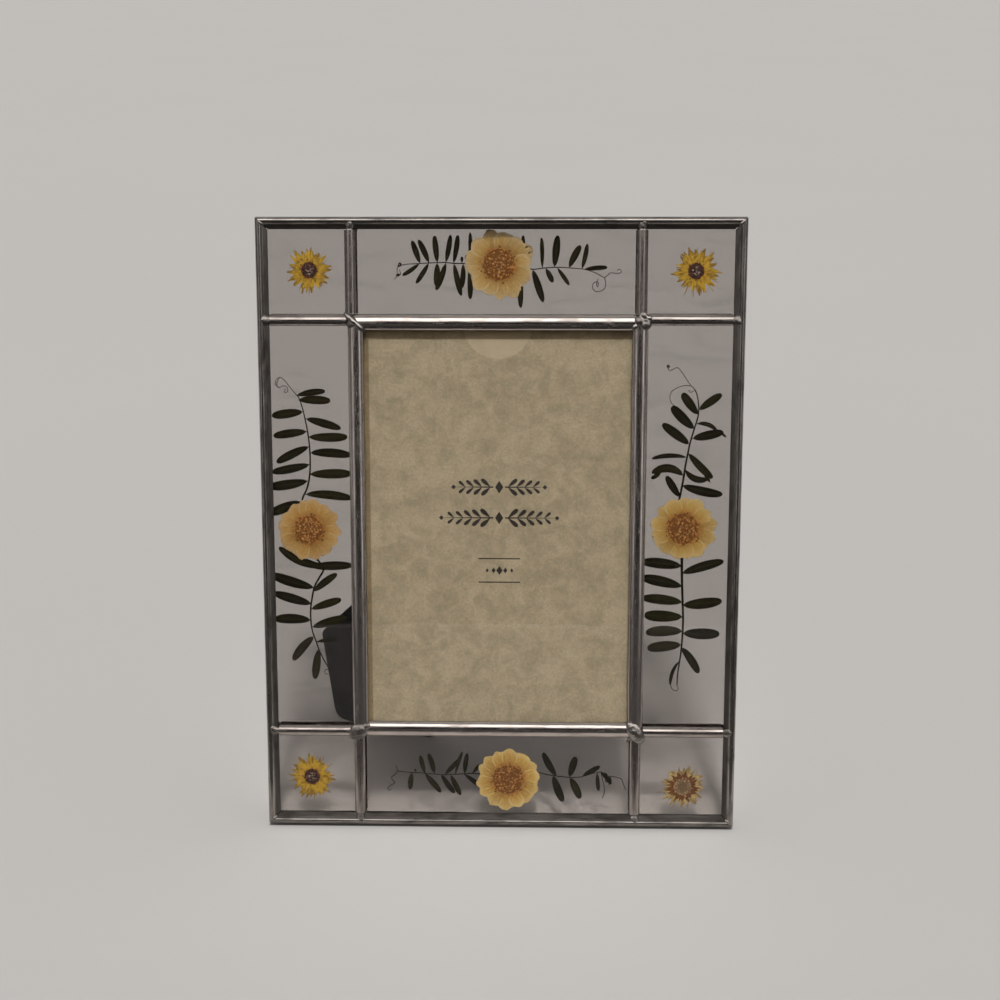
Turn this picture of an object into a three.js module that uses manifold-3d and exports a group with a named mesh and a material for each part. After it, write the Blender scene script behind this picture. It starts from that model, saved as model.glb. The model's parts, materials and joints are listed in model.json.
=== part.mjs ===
// Standing picture frame for one 4 x 6 in picture. Eight glass panels around the
// pocket hold pressed flowers and vetch sprigs between two panes each. Metal came strips
// hold all the glass, and a hinged easel leg behind the backing board holds the frame up.
//
// The frame is drawn flat first: X to the right, Y from the front face to the back, Z up
// along the face from the bottom edge. At the end it leans back on its leg.
import * as THREE from 'three';
import { mergeVertices } from 'three/addons/utils/BufferGeometryUtils.js';
import Module from 'manifold-3d';

const wasm = await Module();
wasm.setup();

// Driving dimensions, in millimetres and radians.
const FACE = { left: -89, right: 89, bottom: 0, top: 229.6 };
const POCKET = { left: -53.1, right: 51, bottom: 38, top: 191.7 };
const UPRIGHT = { top_left: -54.6, top_right: 51.2, bottom_left: -53.6, bottom_right: 51.2 };
const CROSSBAR = { upper_left: 192.5, upper_right: 192.8, lower_left: 37, lower_right: 37.4 };
const LEAN = THREE.MathUtils.degToRad(13);
const GAP = 0.3;

// Came sections: how far each part reaches, and the depths of its front and back flanges.
const CAME_DEPTH = 7.2;
const FLANGE_BACK = 6.15;
const FLANGE_UNDER = 1.6;
const BORDER = { bead: 2.6, shoulder: 0.7, width: 4.4, web: 1, back: 3.2 };
const RING = { width: 5.7, web: 0.8 };
const BAR = { width: 4.2, web: 0.8 };
const CHAMFER = 0.2;

// Layers between the flanges, each a front depth and a thickness.
const FRONT_PANE = { front: 1.9, thick: 1.6 };
const BACK_PANE = { front: 4.25, thick: 1.6 };
const PETALS = { front: 3.62, thick: 0.16 };
const FLOWER_DISC = { front: 3.57, thick: 0.28 };
const SPRIG_MIDDLE = 4.03;
const STEM_THICK = 0.22;
const LEAF_THICK = 0.14;
const TENDRIL_THICK = 0.18;
const CARD = { width: 101.6, height: 152.4, front: 3.75, thick: 0.25 };
const BOARD = { front: 4.2, thick: 2.8, notch: 13.3 };

// Retaining tabs over the edges of the backing board.
const TAB = { length: 10, width: 6, front: 7.5, thick: 0.5, outset: 2.4 };
const TAB_HEIGHTS = { lower: 76, upper: 152 };

// The leg swings on a pin that crosses the board at 45 degrees, so that the frame can
// stand upright or on its side.
const HINGE = { u: 20, v: 110.5, depth: 9.15, length: 30, leaf: 12, plate: 0.6 };
const KNUCKLE = { outer: 1.95, bore: 0.95, pin: 0.75, half: 4.9, clear: 0.3, sides: 16 };
const LEG = { front: -1, thick: 2.2, top: 2.6, hingeWidth: 64, footWidth: 65, corner: 6 };
const LEG_OPEN = THREE.MathUtils.degToRad(29);

// Flower heads: centre of the disc on the face, outer radius, disc radius and petal count.
const DAISIES = {
  top: { at: [-0.6, 212.6], radius: 12.2, disc: 6, petals: 13 },
  left: { at: [-71.8, 114.4], radius: 11.6, disc: 5.6, petals: 14 },
  right: { at: [68, 115.4], radius: 12, disc: 6.1, petals: 13 },
  bottom: { at: [3, 17.4], radius: 12.2, disc: 6.1, petals: 14 },
};
const SMALL_FLOWERS = {
  top_left: { at: [-69.9, 210.5], radius: 8.4, disc: 3.2, petals: 17 },
  top_right: { at: [70.9, 210.3], radius: 8.8, disc: 3.2, petals: 19 },
  bottom_left: { at: [-72.4, 18], radius: 8.8, disc: 3.4, petals: 21 },
  bottom_right: { at: [69.8, 15.1], radius: 8.4, disc: 5.2, petals: 19 },
};

const DISC_SIDES = 16;

// Sprigs, drawn about the middle of the daisy they come out from under. A leaf is its
// base, its tip, its width and, where it is bent, how far its middle stands to the left.
const SPRIGS = {
  left_upper: {
    flower: 'left',
    stem: [[-1.7, 6], [-2.3, 11.3], [-0.5, 15.5], [0.9, 26], [0.1, 37], [-1.7, 46], [-3.9, 50.7]],
    leaves: [
      [-3.7, 50.3, 6.9, 51.9, 2.4, 0.4], [-3.1, 48.6, 8.8, 48.3, 3.2], [-1.3, 44.3, -13, 42.7, 3.4],
      [-0.5, 41.7, 12.5, 38, 3.2], [0, 36.9, -12.6, 35.2, 3.2], [0.4, 34.9, 14.9, 35, 3.4],
      [0.6, 31.3, -11.6, 25.3, 3.2], [0.9, 28.9, 16.1, 28, 3.5], [0.7, 24.6, -13.6, 21.7, 3.3],
      [0.6, 20.9, 16.1, 21.2, 3.6], [-0.1, 18.4, -14.9, 16, 3.7], [-1.1, 13.3, 16.1, 11.8, 3.4],
      [-2.4, 10.6, -15.1, 5.8, 3.8],
    ],
    tendrils: [[[-3.9, 50.7], [-8.2, 56], [-11.2, 56], [-10.3, 53.1]]],
  },
  left_lower: {
    flower: 'left',
    stem: [[1.1, -6.5], [2.7, -11], [5.1, -15.1], [1.6, -22], [0, -31], [0, -37], [2.9, -46.4], [6.1, -53]],
    leaves: [
      [4.6, -14.4, -11.5, -6.8, 3, 1.8], [4.1, -13.4, 16.1, -13.7, 2.9], [1.2, -23.8, 10.2, -16.9, 2.9],
      [1.4, -22.3, -14.6, -17.4, 3.9], [0.4, -28.6, -14, -24.4, 3.7], [0.1, -30.6, 11.6, -26.7, 3],
      [0, -34.9, -13.6, -34.6, 3.8], [0.2, -37.6, 13.7, -33.8, 3.4], [1.8, -43.3, 9.8, -42, 1.7],
      [1.1, -41.1, -7, -50.6, 3.4, -0.5], [2.7, -46, 1.1, -57.8, 3.1],
    ],
    tendrils: [[[6.1, -53], [5.4, -54.1], [4.9, -55], [6.3, -55.8]]],
  },
  right_upper: {
    flower: 'right',
    stem: [[-1.1, 6], [-1.7, 9.8], [-0.3, 18], [1.3, 28.5], [3.6, 38], [4.9, 45], [3.5, 51.8]],
    leaves: [
      [4.8, 42.6, -1.1, 50.6, 3.2], [3.5, 37.3, -4.9, 45.7, 3.6], [1.9, 31.6, -8.3, 39.2, 3.5],
      [4.9, 44.3, 13.2, 50.2, 3], [4, 39.2, 11.6, 37, 1.7, 1.1], [2.6, 33.8, 14.2, 36.3, 3.5],
      [1, 26.7, -12, 26.2, 1.8, -0.9], [0, 19.7, -11.9, 20.8, 3.3, -2.5], [1.3, 28.4, 10.5, 19, 2.9],
      [0.4, 22.3, 8.7, 18.7, 2.5, -1.7], [-1.4, 11.8, -6.5, 19.8, 2.9], [-0.6, 16.3, 14.4, 13, 3.6],
    ],
    tendrils: [
      [[3.5, 51.8], [-1.4, 58], [-4.8, 59.3], [-6.7, 60]],
      [[3.2, 52.4], [-0.7, 53.3], [-5.5, 50.6], [-3.9, 45.7]],
    ],
  },
  right_lower: {
    flower: 'right',
    stem: [[-0.2, -7], [-0.2, -11.5], [0.3, -26], [0.7, -37], [0.2, -47], [-0.9, -56], [-1.1, -60.4]],
    leaves: [
      [-0.1, -14.3, -15.1, -12.7, 4.1], [0.1, -22, -15.1, -18.6, 4.1], [0.3, -28.1, -14.9, -26.5, 4],
      [0.6, -33.7, -13.8, -33.1, 4.3], [0.6, -39.3, -13.2, -39.9, 4.1], [0.4, -44.5, -12.5, -46, 4],
      [0, -17, 15.4, -12.3, 3.7], [0.4, -29.2, 15.1, -27.4, 4.3], [0.6, -40, 14.5, -40.2, 4.4],
      [0.2, -45.4, 6.9, -55.5, 3.1], [-0.2, -50.8, -3.6, -60.2, 1.4, -1],
    ],
    tendrils: [[[-3.5, -60], [-2.8, -61.8], [-1.5, -62.4], [-0.5, -61.6]]],
  },
  top_left: {
    flower: 'top',
    stem: [[-4.4, 0], [-10.4, 0.3], [-16.2, 0.4], [-23.9, 0.6], [-29.4, 0.3], [-36.2, -0.4]],
    leaves: [
      [-28.8, 0.3, -31.7, 8.5, 2.2], [-25.5, 0.5, -29.3, 8.8, 2.2], [-22.5, 0.6, -23.5, 10.3, 2.2],
      [-19.4, 0.5, -17.6, 10.6, 2], [-16.6, 0.4, -15, 10.5, 1.9], [-10.4, 0.3, -10.5, 11.4, 1.6],
      [-13.5, 0.4, -13.6, 2.8, 1.1], [-29, 0.3, -35.2, -3.9, 1.6], [-25.6, 0.5, -30.3, -6.8, 1.8],
      [-22.6, 0.6, -23.1, -7.6, 2.4], [-19.3, 0.5, -23, -9.2, 2.2], [-16.4, 0.4, -13.8, -11.3, 2.2],
      [-13.1, 0.3, -13.6, -8.6, 2], [-10.6, 0.3, -10.6, -12.5, 2],
    ],
    tendrils: [[[-36.2, -0.4], [-37.1, -1.3], [-36.6, -3.6], [-38.3, -5.4]]],
  },
  top_right: {
    flower: 'top',
    stem: [[4.6, -0.8], [8.1, -1], [12.2, -1.7], [20.6, -1], [30.9, -1.7], [38.3, -4.7]],
    leaves: [
      [15.7, -1.3, 15.4, 9.6, 1.5], [20.2, -1, 21.3, 10.4, 2.8], [25.4, -1.2, 29.5, 6.8, 2.5],
      [30.1, -1.6, 32, 7.4, 1.8], [30.9, -1.7, 39.3, -1, 1.7], [8, -1, 8.8, 10.4, 1.7],
      [12.2, -1.7, 16.1, -13.5, 2.7], [16.9, -1.2, 19.6, -6.4, 2], [21.1, -1, 25.5, -7.4, 1.6],
      [7.4, -1, 7.9, -15.6, 2.1],
    ],
    tendrils: [
      [[38.3, -4.7], [40.7, -2.9], [42.6, -3.2], [44.3, -2]],
      [[38.3, -4.7], [38.5, -8.4], [35.4, -9.7], [34.2, -7]],
    ],
  },
  bottom_left: {
    flower: 'bottom',
    stem: [[-4.6, 1.6], [-12.9, 2.2], [-17.1, 2], [-26.1, 1.6], [-37.1, 2.4], [-42.5, 2.9]],
    leaves: [
      [-31.9, 2.1, -33.7, 9.2, 1.9], [-28.3, 1.8, -30.7, 10, 2.1], [-24.3, 1.7, -18.3, 8, 1.9],
      [-20.3, 1.8, -17.6, 10.8, 1.3], [-16.8, 2, -15.7, 10.2, 1.9], [-16.9, 1.9, -10.5, -3.4, 1.8],
      [-13.7, 2.2, -11.1, 5.8, 1.3], [-36.9, 2.4, -37.7, -4.4, 2.1], [-32, 2.1, -25.9, -5.4, 2.3],
      [-25.7, 1.7, -20.6, -5.7, 2.1], [-22.1, 1.7, -18.3, -6.5, 2.1], [-35.5, 2.3, -35.8, 3.8, 0.8],
    ],
    tendrils: [[[-42.5, 2.9], [-44.7, 0.6], [-43.7, -1.8], [-46.4, -4]]],
  },
  bottom_right: {
    flower: 'bottom',
    stem: [[6.4, 2.9], [11.1, 2.9], [18.9, 1.4], [27.9, 1.2], [30.4, 2.2], [35.5, 3.4]],
    leaves: [
      [18.6, 1.4, 13.4, 10.8, 2.7], [23.5, 1.2, 25.8, 9.2, 2.8], [28.3, 1.4, 35.1, 5.5, 2.1],
      [17.2, 1.7, 21.1, -8.8, 3.1], [23.7, 1.2, 27.6, -7.5, 3], [34.1, 3, 34.7, -4.4, 1.6],
      [35.3, 3.4, 39.5, -1, 1.7],
    ],
    tendrils: [
      [[35.5, 3.4], [36.7, -2.1], [36.9, -5], [36.1, -7.2]],
      [[35.5, 3.4], [40.9, 1.3], [44.2, -1.6], [45.1, -3.8]],
    ],
  },
};
const STEM_WIDTH = { base: 1, tip: 0.5 };
const STEM_STEPS = 9;
const LEAF_STEPS = 4;
const TENDRIL_WIDTH = 0.35;

const finish = (color, roughness, metalness = 0) => (
  () => new THREE.MeshStandardMaterial({ color, roughness, metalness })
);
const cameFinish = finish(0x6e6864, 0.35, 1);
const glassFinish = () => new THREE.MeshStandardMaterial({
  color: 0xdfe3df, roughness: 0.05, metalness: 0, transparent: true, opacity: 0.3,
});
const cardFinish = finish(0xa89a7c, 0.8);
const boardFinish = finish(0x26262a, 0.85);
const steelFinish = finish(0x9a9893, 0.3, 1);
const leafFinish = finish(0x262a1c, 0.8);
const daisyFinish = finish(0xc49a4c, 0.8);
const smallFlowerFinish = finish(0xb48a24, 0.8);

// The whole frame, lying in its own plane; everything below adds to it.
const frame = new THREE.Group();

function add(name, geometry, makeMaterial, position = [0, 0, 0], turn = 0) {
  const mesh = new THREE.Mesh(geometry, makeMaterial());
  mesh.name = name;
  mesh.position.set(...position);
  mesh.rotation.y = turn;
  frame.add(mesh);
}

// --- Came strips ---------------------------------------------------------------------

const polygon = (points) => new THREE.Shape(points.map(([x, y]) => new THREE.Vector2(x, y)));

function crown(halfWidth, height, steps) {
  const points = [];
  for (let i = 0; i <= steps; i += 1) {
    const angle = Math.PI * (1 - i / steps);
    points.push([halfWidth * Math.cos(angle), height * (1 - Math.sin(angle))]);
  }
  return points;
}

// U section around the outside: a rounded bead, then a flat lip sloping down to the glass.
function borderProfile() {
  const { bead, shoulder, width, web, back } = BORDER;
  const beadArc = crown(bead / 2, 1, 8).map(([x, y]) => [x + bead / 2, Math.min(y, 1)]);
  beadArc[beadArc.length - 1] = [bead, shoulder];
  return polygon([
    ...beadArc, [width - 0.3, FLANGE_UNDER - 0.4], [width, FLANGE_UNDER - CHAMFER],
    [width, FLANGE_UNDER], [web, FLANGE_UNDER], [web, FLANGE_BACK], [back, FLANGE_BACK],
    [back, CAME_DEPTH - CHAMFER], [back - CHAMFER, CAME_DEPTH], [0, CAME_DEPTH],
  ]);
}

// Section of the pocket's cames: a wide half-round crown, a web, and a back flange on the
// outer side only, so that the backing board goes in from behind.
function ringProfile() {
  const half = RING.width / 2;
  const web = RING.web / 2;
  return polygon([
    ...crown(half, FLANGE_UNDER - CHAMFER, 12), [half, FLANGE_UNDER], [web, FLANGE_UNDER],
    [web, CAME_DEPTH], [-half + CHAMFER, CAME_DEPTH], [-half, CAME_DEPTH - CHAMFER],
    [-half, FLANGE_BACK], [-web, FLANGE_BACK], [-web, FLANGE_UNDER], [-half, FLANGE_UNDER],
  ]);
}

// H section of the narrow cames between two glass panels.
function barProfile() {
  const half = BAR.width / 2;
  const web = BAR.web / 2;
  return polygon([
    ...crown(half, FLANGE_UNDER - CHAMFER, 10), [half, FLANGE_UNDER], [web, FLANGE_UNDER],
    [web, FLANGE_BACK], [half, FLANGE_BACK], [half, CAME_DEPTH - CHAMFER],
    [half - CHAMFER, CAME_DEPTH], [-half + CHAMFER, CAME_DEPTH], [-half, CAME_DEPTH - CHAMFER],
    [-half, FLANGE_BACK], [-web, FLANGE_BACK], [-web, FLANGE_UNDER], [-half, FLANGE_UNDER],
  ]);
}

// A strip from one point of the face to another. A mitred strip's ends are cut at 45
// degrees through those points, and face the strips on either side.
function addStrip(name, profile, from, to, mitred) {
  const along = [to[0] - from[0], to[1] - from[1]];
  const length = Math.hypot(...along);
  const geometry = new THREE.ExtrudeGeometry(profile, { depth: length, bevelEnabled: false });
  const points = geometry.attributes.position;
  const clear = mitred ? GAP * Math.SQRT1_2 : GAP;
  for (let i = 0; i < points.count; i += 1) {
    const cut = clear + (mitred ? points.getX(i) : 0);
    points.setZ(i, points.getZ(i) > length / 2 ? length - cut : cut);
  }
  geometry.computeVertexNormals();
  add(name, geometry, cameFinish, [from[0], 0, from[1]], Math.atan2(...along));
}

function addRing(prefix, profile, { left, right, bottom, top }) {
  addStrip(`${prefix}_left`, profile, [left, bottom], [left, top], true);
  addStrip(`${prefix}_top`, profile, [left, top], [right, top], true);
  addStrip(`${prefix}_right`, profile, [right, top], [right, bottom], true);
  addStrip(`${prefix}_bottom`, profile, [right, bottom], [left, bottom], true);
}

function addBars() {
  const profile = barProfile();
  const ringReach = RING.width / 2;
  const pocketSide = {
    left: POCKET.left - ringReach, right: POCKET.right + ringReach,
    bottom: POCKET.bottom - ringReach, top: POCKET.top + ringReach,
  };
  const inside = {
    left: FACE.left + BORDER.width, right: FACE.right - BORDER.width,
    bottom: FACE.bottom + BORDER.width, top: FACE.top - BORDER.width,
  };
  for (const [name, u] of Object.entries(UPRIGHT)) {
    const end = name.startsWith('top') ? 'top' : 'bottom';
    addStrip(`upright_came_${name}`, profile, [u, pocketSide[end]], [u, inside[end]], false);
  }
  for (const [name, v] of Object.entries(CROSSBAR)) {
    const end = name.endsWith('left') ? 'left' : 'right';
    addStrip(`cross_came_${name}`, profile, [pocketSide[end], v], [inside[end], v], false);
  }
}

// --- Glass, card and backing board ------------------------------------------------------

function addSlab(name, { left, right, bottom, top }, { front, thick }, makeMaterial) {
  const geometry = new THREE.BoxGeometry(right - left, thick, top - bottom);
  const middle = [(left + right) / 2, front + thick / 2, (bottom + top) / 2];
  add(name, geometry, makeMaterial, middle);
}

// Glass edges stand clear of the web of the came that holds them.
const above = (line, web) => line + web / 2 + GAP;
const below = (line, web) => line - web / 2 - GAP;

function panelOutlines() {
  const outer = {
    left: FACE.left + BORDER.web + GAP, right: FACE.right - BORDER.web - GAP,
    bottom: FACE.bottom + BORDER.web + GAP, top: FACE.top - BORDER.web - GAP,
  };
  const [web, ring] = [BAR.web, RING.web];
  return {
    top_left: {
      left: outer.left, right: below(UPRIGHT.top_left, web),
      bottom: above(CROSSBAR.upper_left, web), top: outer.top,
    },
    top: {
      left: above(UPRIGHT.top_left, web), right: below(UPRIGHT.top_right, web),
      bottom: above(POCKET.top, ring), top: outer.top,
    },
    top_right: {
      left: above(UPRIGHT.top_right, web), right: outer.right,
      bottom: above(CROSSBAR.upper_right, web), top: outer.top,
    },
    left: {
      left: outer.left, right: below(POCKET.left, ring),
      bottom: above(CROSSBAR.lower_left, web), top: below(CROSSBAR.upper_left, web),
    },
    right: {
      left: above(POCKET.right, ring), right: outer.right,
      bottom: above(CROSSBAR.lower_right, web), top: below(CROSSBAR.upper_right, web),
    },
    bottom_left: {
      left: outer.left, right: below(UPRIGHT.bottom_left, web),
      bottom: outer.bottom, top: below(CROSSBAR.lower_left, web),
    },
    bottom: {
      left: above(UPRIGHT.bottom_left, web), right: below(UPRIGHT.bottom_right, web),
      bottom: outer.bottom, top: below(POCKET.bottom, ring),
    },
    bottom_right: {
      left: above(UPRIGHT.bottom_right, web), right: outer.right,
      bottom: outer.bottom, top: below(CROSSBAR.lower_right, web),
    },
  };
}

const pocketInside = {
  left: above(POCKET.left, RING.web), right: below(POCKET.right, RING.web),
  bottom: above(POCKET.bottom, RING.web), top: below(POCKET.top, RING.web),
};
const pocketCentre = [
  (POCKET.left + POCKET.right) / 2,
  (POCKET.bottom + POCKET.top) / 2,
];

function addGlass() {
  for (const [name, outline] of Object.entries(panelOutlines())) {
    addSlab(`front_pane_${name}`, outline, FRONT_PANE, glassFinish);
    addSlab(`back_pane_${name}`, outline, BACK_PANE, glassFinish);
  }
  addSlab('photo_glass', pocketInside, FRONT_PANE, glassFinish);
}

function addCard() {
  const [u, v] = pocketCentre;
  const outline = {
    left: u - CARD.width / 2, right: u + CARD.width / 2,
    bottom: v - CARD.height / 2, top: v + CARD.height / 2,
  };
  addSlab('insert_card', outline, CARD, cardFinish);
}

// Turns a shape drawn on the face, extruded towards -Z, so that it lies in the frame.
function layOnFace(shape, { front, thick }, curveSegments = 12) {
  const geometry = new THREE.ExtrudeGeometry(shape, {
    depth: thick, bevelEnabled: false, curveSegments,
  });
  geometry.rotateX(Math.PI / 2);
  geometry.translate(0, front + thick, 0);
  return geometry;
}

// The board has a half-round thumb notch in the middle of its top edge.
function addBackingBoard() {
  const { left, right, bottom, top } = pocketInside;
  const shape = new THREE.Shape();
  shape.moveTo(left, bottom);
  shape.lineTo(right, bottom);
  shape.lineTo(right, top);
  shape.lineTo(pocketCentre[0] + BOARD.notch, top);
  shape.absarc(pocketCentre[0], top, BOARD.notch, 0, -Math.PI, true);
  shape.lineTo(left, top);
  add('backing_board', layOnFace(shape, BOARD), boardFinish);
}

function addTabs() {
  const shape = new THREE.Shape();
  const half = TAB.width / 2;
  shape.moveTo(0, -half);
  shape.lineTo(TAB.length - half, -half);
  shape.absarc(TAB.length - half, 0, half, -Math.PI / 2, Math.PI / 2, false);
  shape.lineTo(0, half);
  const left = POCKET.left - TAB.outset;
  const right = POCKET.right + TAB.outset;
  for (const [height, v] of Object.entries(TAB_HEIGHTS)) {
    add(`tab_left_${height}`, layOnFace(shape, TAB, 6), steelFinish, [left, 0, v]);
    add(`tab_right_${height}`, layOnFace(shape, TAB, 6), steelFinish, [right, 0, v], Math.PI);
  }
}

// --- Flowers and sprigs -------------------------------------------------------------------

function toManifold(geometry) {
  const bare = geometry.clone();
  bare.deleteAttribute('normal');
  bare.deleteAttribute('uv');
  const merged = mergeVertices(bare);
  return new wasm.Manifold(new wasm.Mesh({
    numProp: 3,
    vertProperties: new Float32Array(merged.attributes.position.array),
    triVerts: new Uint32Array(merged.index.array),
  }));
}

function join(geometries) {
  const solid = geometries.map(toManifold).reduce((whole, piece) => whole.add(piece));
  const { vertProperties, triVerts } = solid.getMesh();
  const geometry = new THREE.BufferGeometry();
  geometry.setAttribute('position', new THREE.BufferAttribute(vertProperties, 3));
  geometry.setIndex(new THREE.BufferAttribute(triVerts, 1));
  geometry.computeVertexNormals();
  return geometry;
}

function ringOutline(count, radiusAt) {
  const points = [];
  for (let i = 0; i < count; i += 1) {
    const angle = (i / count) * 2 * Math.PI;
    points.push([radiusAt(i) * Math.cos(angle), radiusAt(i) * Math.sin(angle)]);
  }
  return polygon(points);
}

// Broad overlapping petals give a scalloped edge, four points to a petal.
function scallops({ radius, petals }) {
  const reach = [0.89, 0.98, 1, 0.98];
  return ringOutline(petals * reach.length, (i) => radius * reach[i % reach.length]);
}

// Narrow pointed petals give a star, with every second tip a little shorter.
function spikes({ radius, petals }) {
  const reach = [1, 0.74, 0.9, 0.74];
  return ringOutline(petals * 2, (i) => radius * reach[i % reach.length]);
}

function addFlowers(flowers, petalOutline, makeMaterial) {
  for (const [name, flower] of Object.entries(flowers)) {
    const disc = ringOutline(DISC_SIDES, () => flower.disc);
    const head = join([layOnFace(petalOutline(flower), PETALS), layOnFace(disc, FLOWER_DISC)]);
    add(`flower_${name}`, head, makeMaterial, [flower.at[0], 0, flower.at[1]]);
  }
}

const centred = (thick) => ({ front: SPRIG_MIDDLE - thick / 2, thick });

function leafShape([baseU, baseV, tipU, tipV, width, bend = 0]) {
  const base = new THREE.Vector2(baseU, baseV);
  const tip = new THREE.Vector2(tipU, tipV);
  const along = tip.clone().sub(base);
  const left = new THREE.Vector2(-along.y, along.x).normalize();
  const control = (t, side) => (
    base.clone().addScaledVector(along, t).addScaledVector(left, (side * width + bend) / 0.75)
  );
  const [low, high] = [control(0.2, 0.5), control(0.85, 0.42)];
  const [highBack, lowBack] = [control(0.85, -0.42), control(0.2, -0.5)];
  const shape = new THREE.Shape();
  shape.moveTo(base.x, base.y);
  shape.bezierCurveTo(low.x, low.y, high.x, high.y, tip.x, tip.y);
  shape.bezierCurveTo(highBack.x, highBack.y, lowBack.x, lowBack.y, base.x, base.y);
  return shape;
}

function stemShape(points) {
  const curve = new THREE.SplineCurve(points.map(([u, v]) => new THREE.Vector2(u, v)));
  const sides = [[], []];
  for (let i = 0; i <= STEM_STEPS; i += 1) {
    const t = i / STEM_STEPS;
    const at = curve.getPoint(t);
    const along = curve.getTangent(t);
    const half = THREE.MathUtils.lerp(STEM_WIDTH.base, STEM_WIDTH.tip, t) / 2;
    sides[0].push([at.x - along.y * half, at.y + along.x * half]);
    sides[1].unshift([at.x + along.y * half, at.y - along.x * half]);
  }
  return polygon(sides.flat());
}

// One straight run of a tendril, a thin box that overlaps the next run.
function tendrilRun(from, to) {
  const [du, dv] = [to[0] - from[0], to[1] - from[1]];
  const length = Math.hypot(du, dv) + TENDRIL_WIDTH;
  const run = new THREE.BoxGeometry(length, TENDRIL_THICK, TENDRIL_WIDTH);
  run.rotateY(-Math.atan2(dv, du));
  run.translate((from[0] + to[0]) / 2, SPRIG_MIDDLE, (from[1] + to[1]) / 2);
  return run;
}

function addSprig(name, { flower, stem, leaves, tendrils }) {
  const pieces = [layOnFace(stemShape(stem), centred(STEM_THICK))];
  for (const leaf of leaves) {
    pieces.push(layOnFace(leafShape(leaf), centred(LEAF_THICK), LEAF_STEPS));
  }
  for (const tendril of tendrils) {
    for (let i = 1; i < tendril.length; i += 1) {
      pieces.push(tendrilRun(tendril[i - 1], tendril[i]));
    }
  }
  const [u, v] = DAISIES[flower].at;
  add(`sprig_${name}`, join(pieces), leafFinish, [u, 0, v]);
}

// --- Easel leg and its hinge ---------------------------------------------------------------

// The hinge's own frame: X along the pin, Y out of the board, Z away from the leg.
const hinge = new THREE.Group();
hinge.position.set(HINGE.u, HINGE.depth, HINGE.v);
hinge.rotation.y = Math.PI / 4;
const leg = new THREE.Group();
leg.rotation.x = LEG_OPEN;

function addTo(group, name, geometry, makeMaterial) {
  const mesh = new THREE.Mesh(geometry, makeMaterial());
  mesh.name = name;
  group.add(mesh);
}

function box([x0, x1], [y0, y1], [z0, z1]) {
  const geometry = new THREE.BoxGeometry(x1 - x0, y1 - y0, z1 - z0);
  return geometry.translate((x0 + x1) / 2, (y0 + y1) / 2, (z0 + z1) / 2);
}

function knuckle(x0, x1) {
  const ring = ringOutline(KNUCKLE.sides, () => KNUCKLE.outer);
  ring.holes.push(ringOutline(KNUCKLE.sides, () => KNUCKLE.bore));
  const geometry = new THREE.ExtrudeGeometry(ring, { depth: x1 - x0, bevelEnabled: false });
  return geometry.rotateY(Math.PI / 2).translate(x0, 0, 0);
}

// side is +1 for the leaf on the board and -1 for the leaf on the leg.
function hingeLeaf(side, knuckles) {
  const face = side > 0 ? [-KNUCKLE.outer, -KNUCKLE.outer + HINGE.plate]
    : [KNUCKLE.outer - HINGE.plate, KNUCKLE.outer];
  const reach = [KNUCKLE.outer + KNUCKLE.clear, HINGE.leaf].map((z) => z * side).sort((a, b) => a - b);
  const tongue = [0, side * (KNUCKLE.outer + 1)].sort((a, b) => a - b);
  const half = HINGE.length / 2;
  const pieces = [box([-half, half], face, reach)];
  for (const span of knuckles) {
    pieces.push(box(span, face, tongue), knuckle(...span));
  }
  return join(pieces);
}

function addHinge() {
  const half = HINGE.length / 2;
  const start = KNUCKLE.half + KNUCKLE.clear;
  addTo(hinge, 'hinge_leaf_board', hingeLeaf(1, [[-half, -start], [start, half]]), steelFinish);
  addTo(leg, 'hinge_leaf_leg', hingeLeaf(-1, [[-KNUCKLE.half, KNUCKLE.half]]), steelFinish);
  const pin = new THREE.CylinderGeometry(KNUCKLE.pin, KNUCKLE.pin, HINGE.length + 0.8, 12);
  addTo(hinge, 'hinge_pin', pin.rotateZ(Math.PI / 2), steelFinish);
}

// How far down the leg, from the pin, the foot's corner reaches the table, and how much
// shorter the foot's two edges are at the leg's sides, so that either edge lies flat.
function footReach() {
  const [sinLean, cosLean] = [Math.sin(LEAN), Math.cos(LEAN)];
  const [sinOpen, cosOpen] = [Math.sin(LEG_OPEN), Math.cos(LEG_OPEN)];
  const frontHeight = (down, out) => (
    (CAME_DEPTH - HINGE.depth - down * sinOpen - out * cosOpen) * sinLean
    + (HINGE.v - (down * cosOpen - out * sinOpen) * Math.SQRT1_2) * cosLean
  );
  const drop = frontHeight(0, LEG.front) - frontHeight(1, LEG.front);
  return {
    corner: frontHeight(0, LEG.front) / drop,
    slope: (cosLean * Math.SQRT1_2) / drop,
  };
}

// A closed outline with its corners rounded to the given radii.
function roundedOutline(corners) {
  const shape = new THREE.Shape();
  corners.forEach(([x, y, radius], i) => {
    const corner = new THREE.Vector2(x, y);
    const toNeighbour = (step) => {
      const [nx, ny] = corners[(i + step + corners.length) % corners.length];
      return new THREE.Vector2(nx, ny).sub(corner).setLength(radius).add(corner);
    };
    const [enter, leave] = [toNeighbour(-1), toNeighbour(1)];
    shape[i === 0 ? 'moveTo' : 'lineTo'](enter.x, enter.y);
    shape.quadraticCurveTo(corner.x, corner.y, leave.x, leave.y);
  });
  shape.closePath();
  return shape;
}

function addLeg() {
  const { corner, slope } = footReach();
  const side = LEG.footWidth / 2;
  const shoulder = corner - side * slope;
  const top = LEG.hingeWidth / 2;
  const outline = roundedOutline([
    [-top, -LEG.top, 2], [-side, -shoulder, 2], [0, -corner, LEG.corner],
    [side, -shoulder, 2], [top, -LEG.top, 2],
  ]);
  addTo(leg, 'easel_leg', layOnFace(outline, LEG, 5), boardFinish);
}

// --- Assembly ---------------------------------------------------------------------------------

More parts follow.
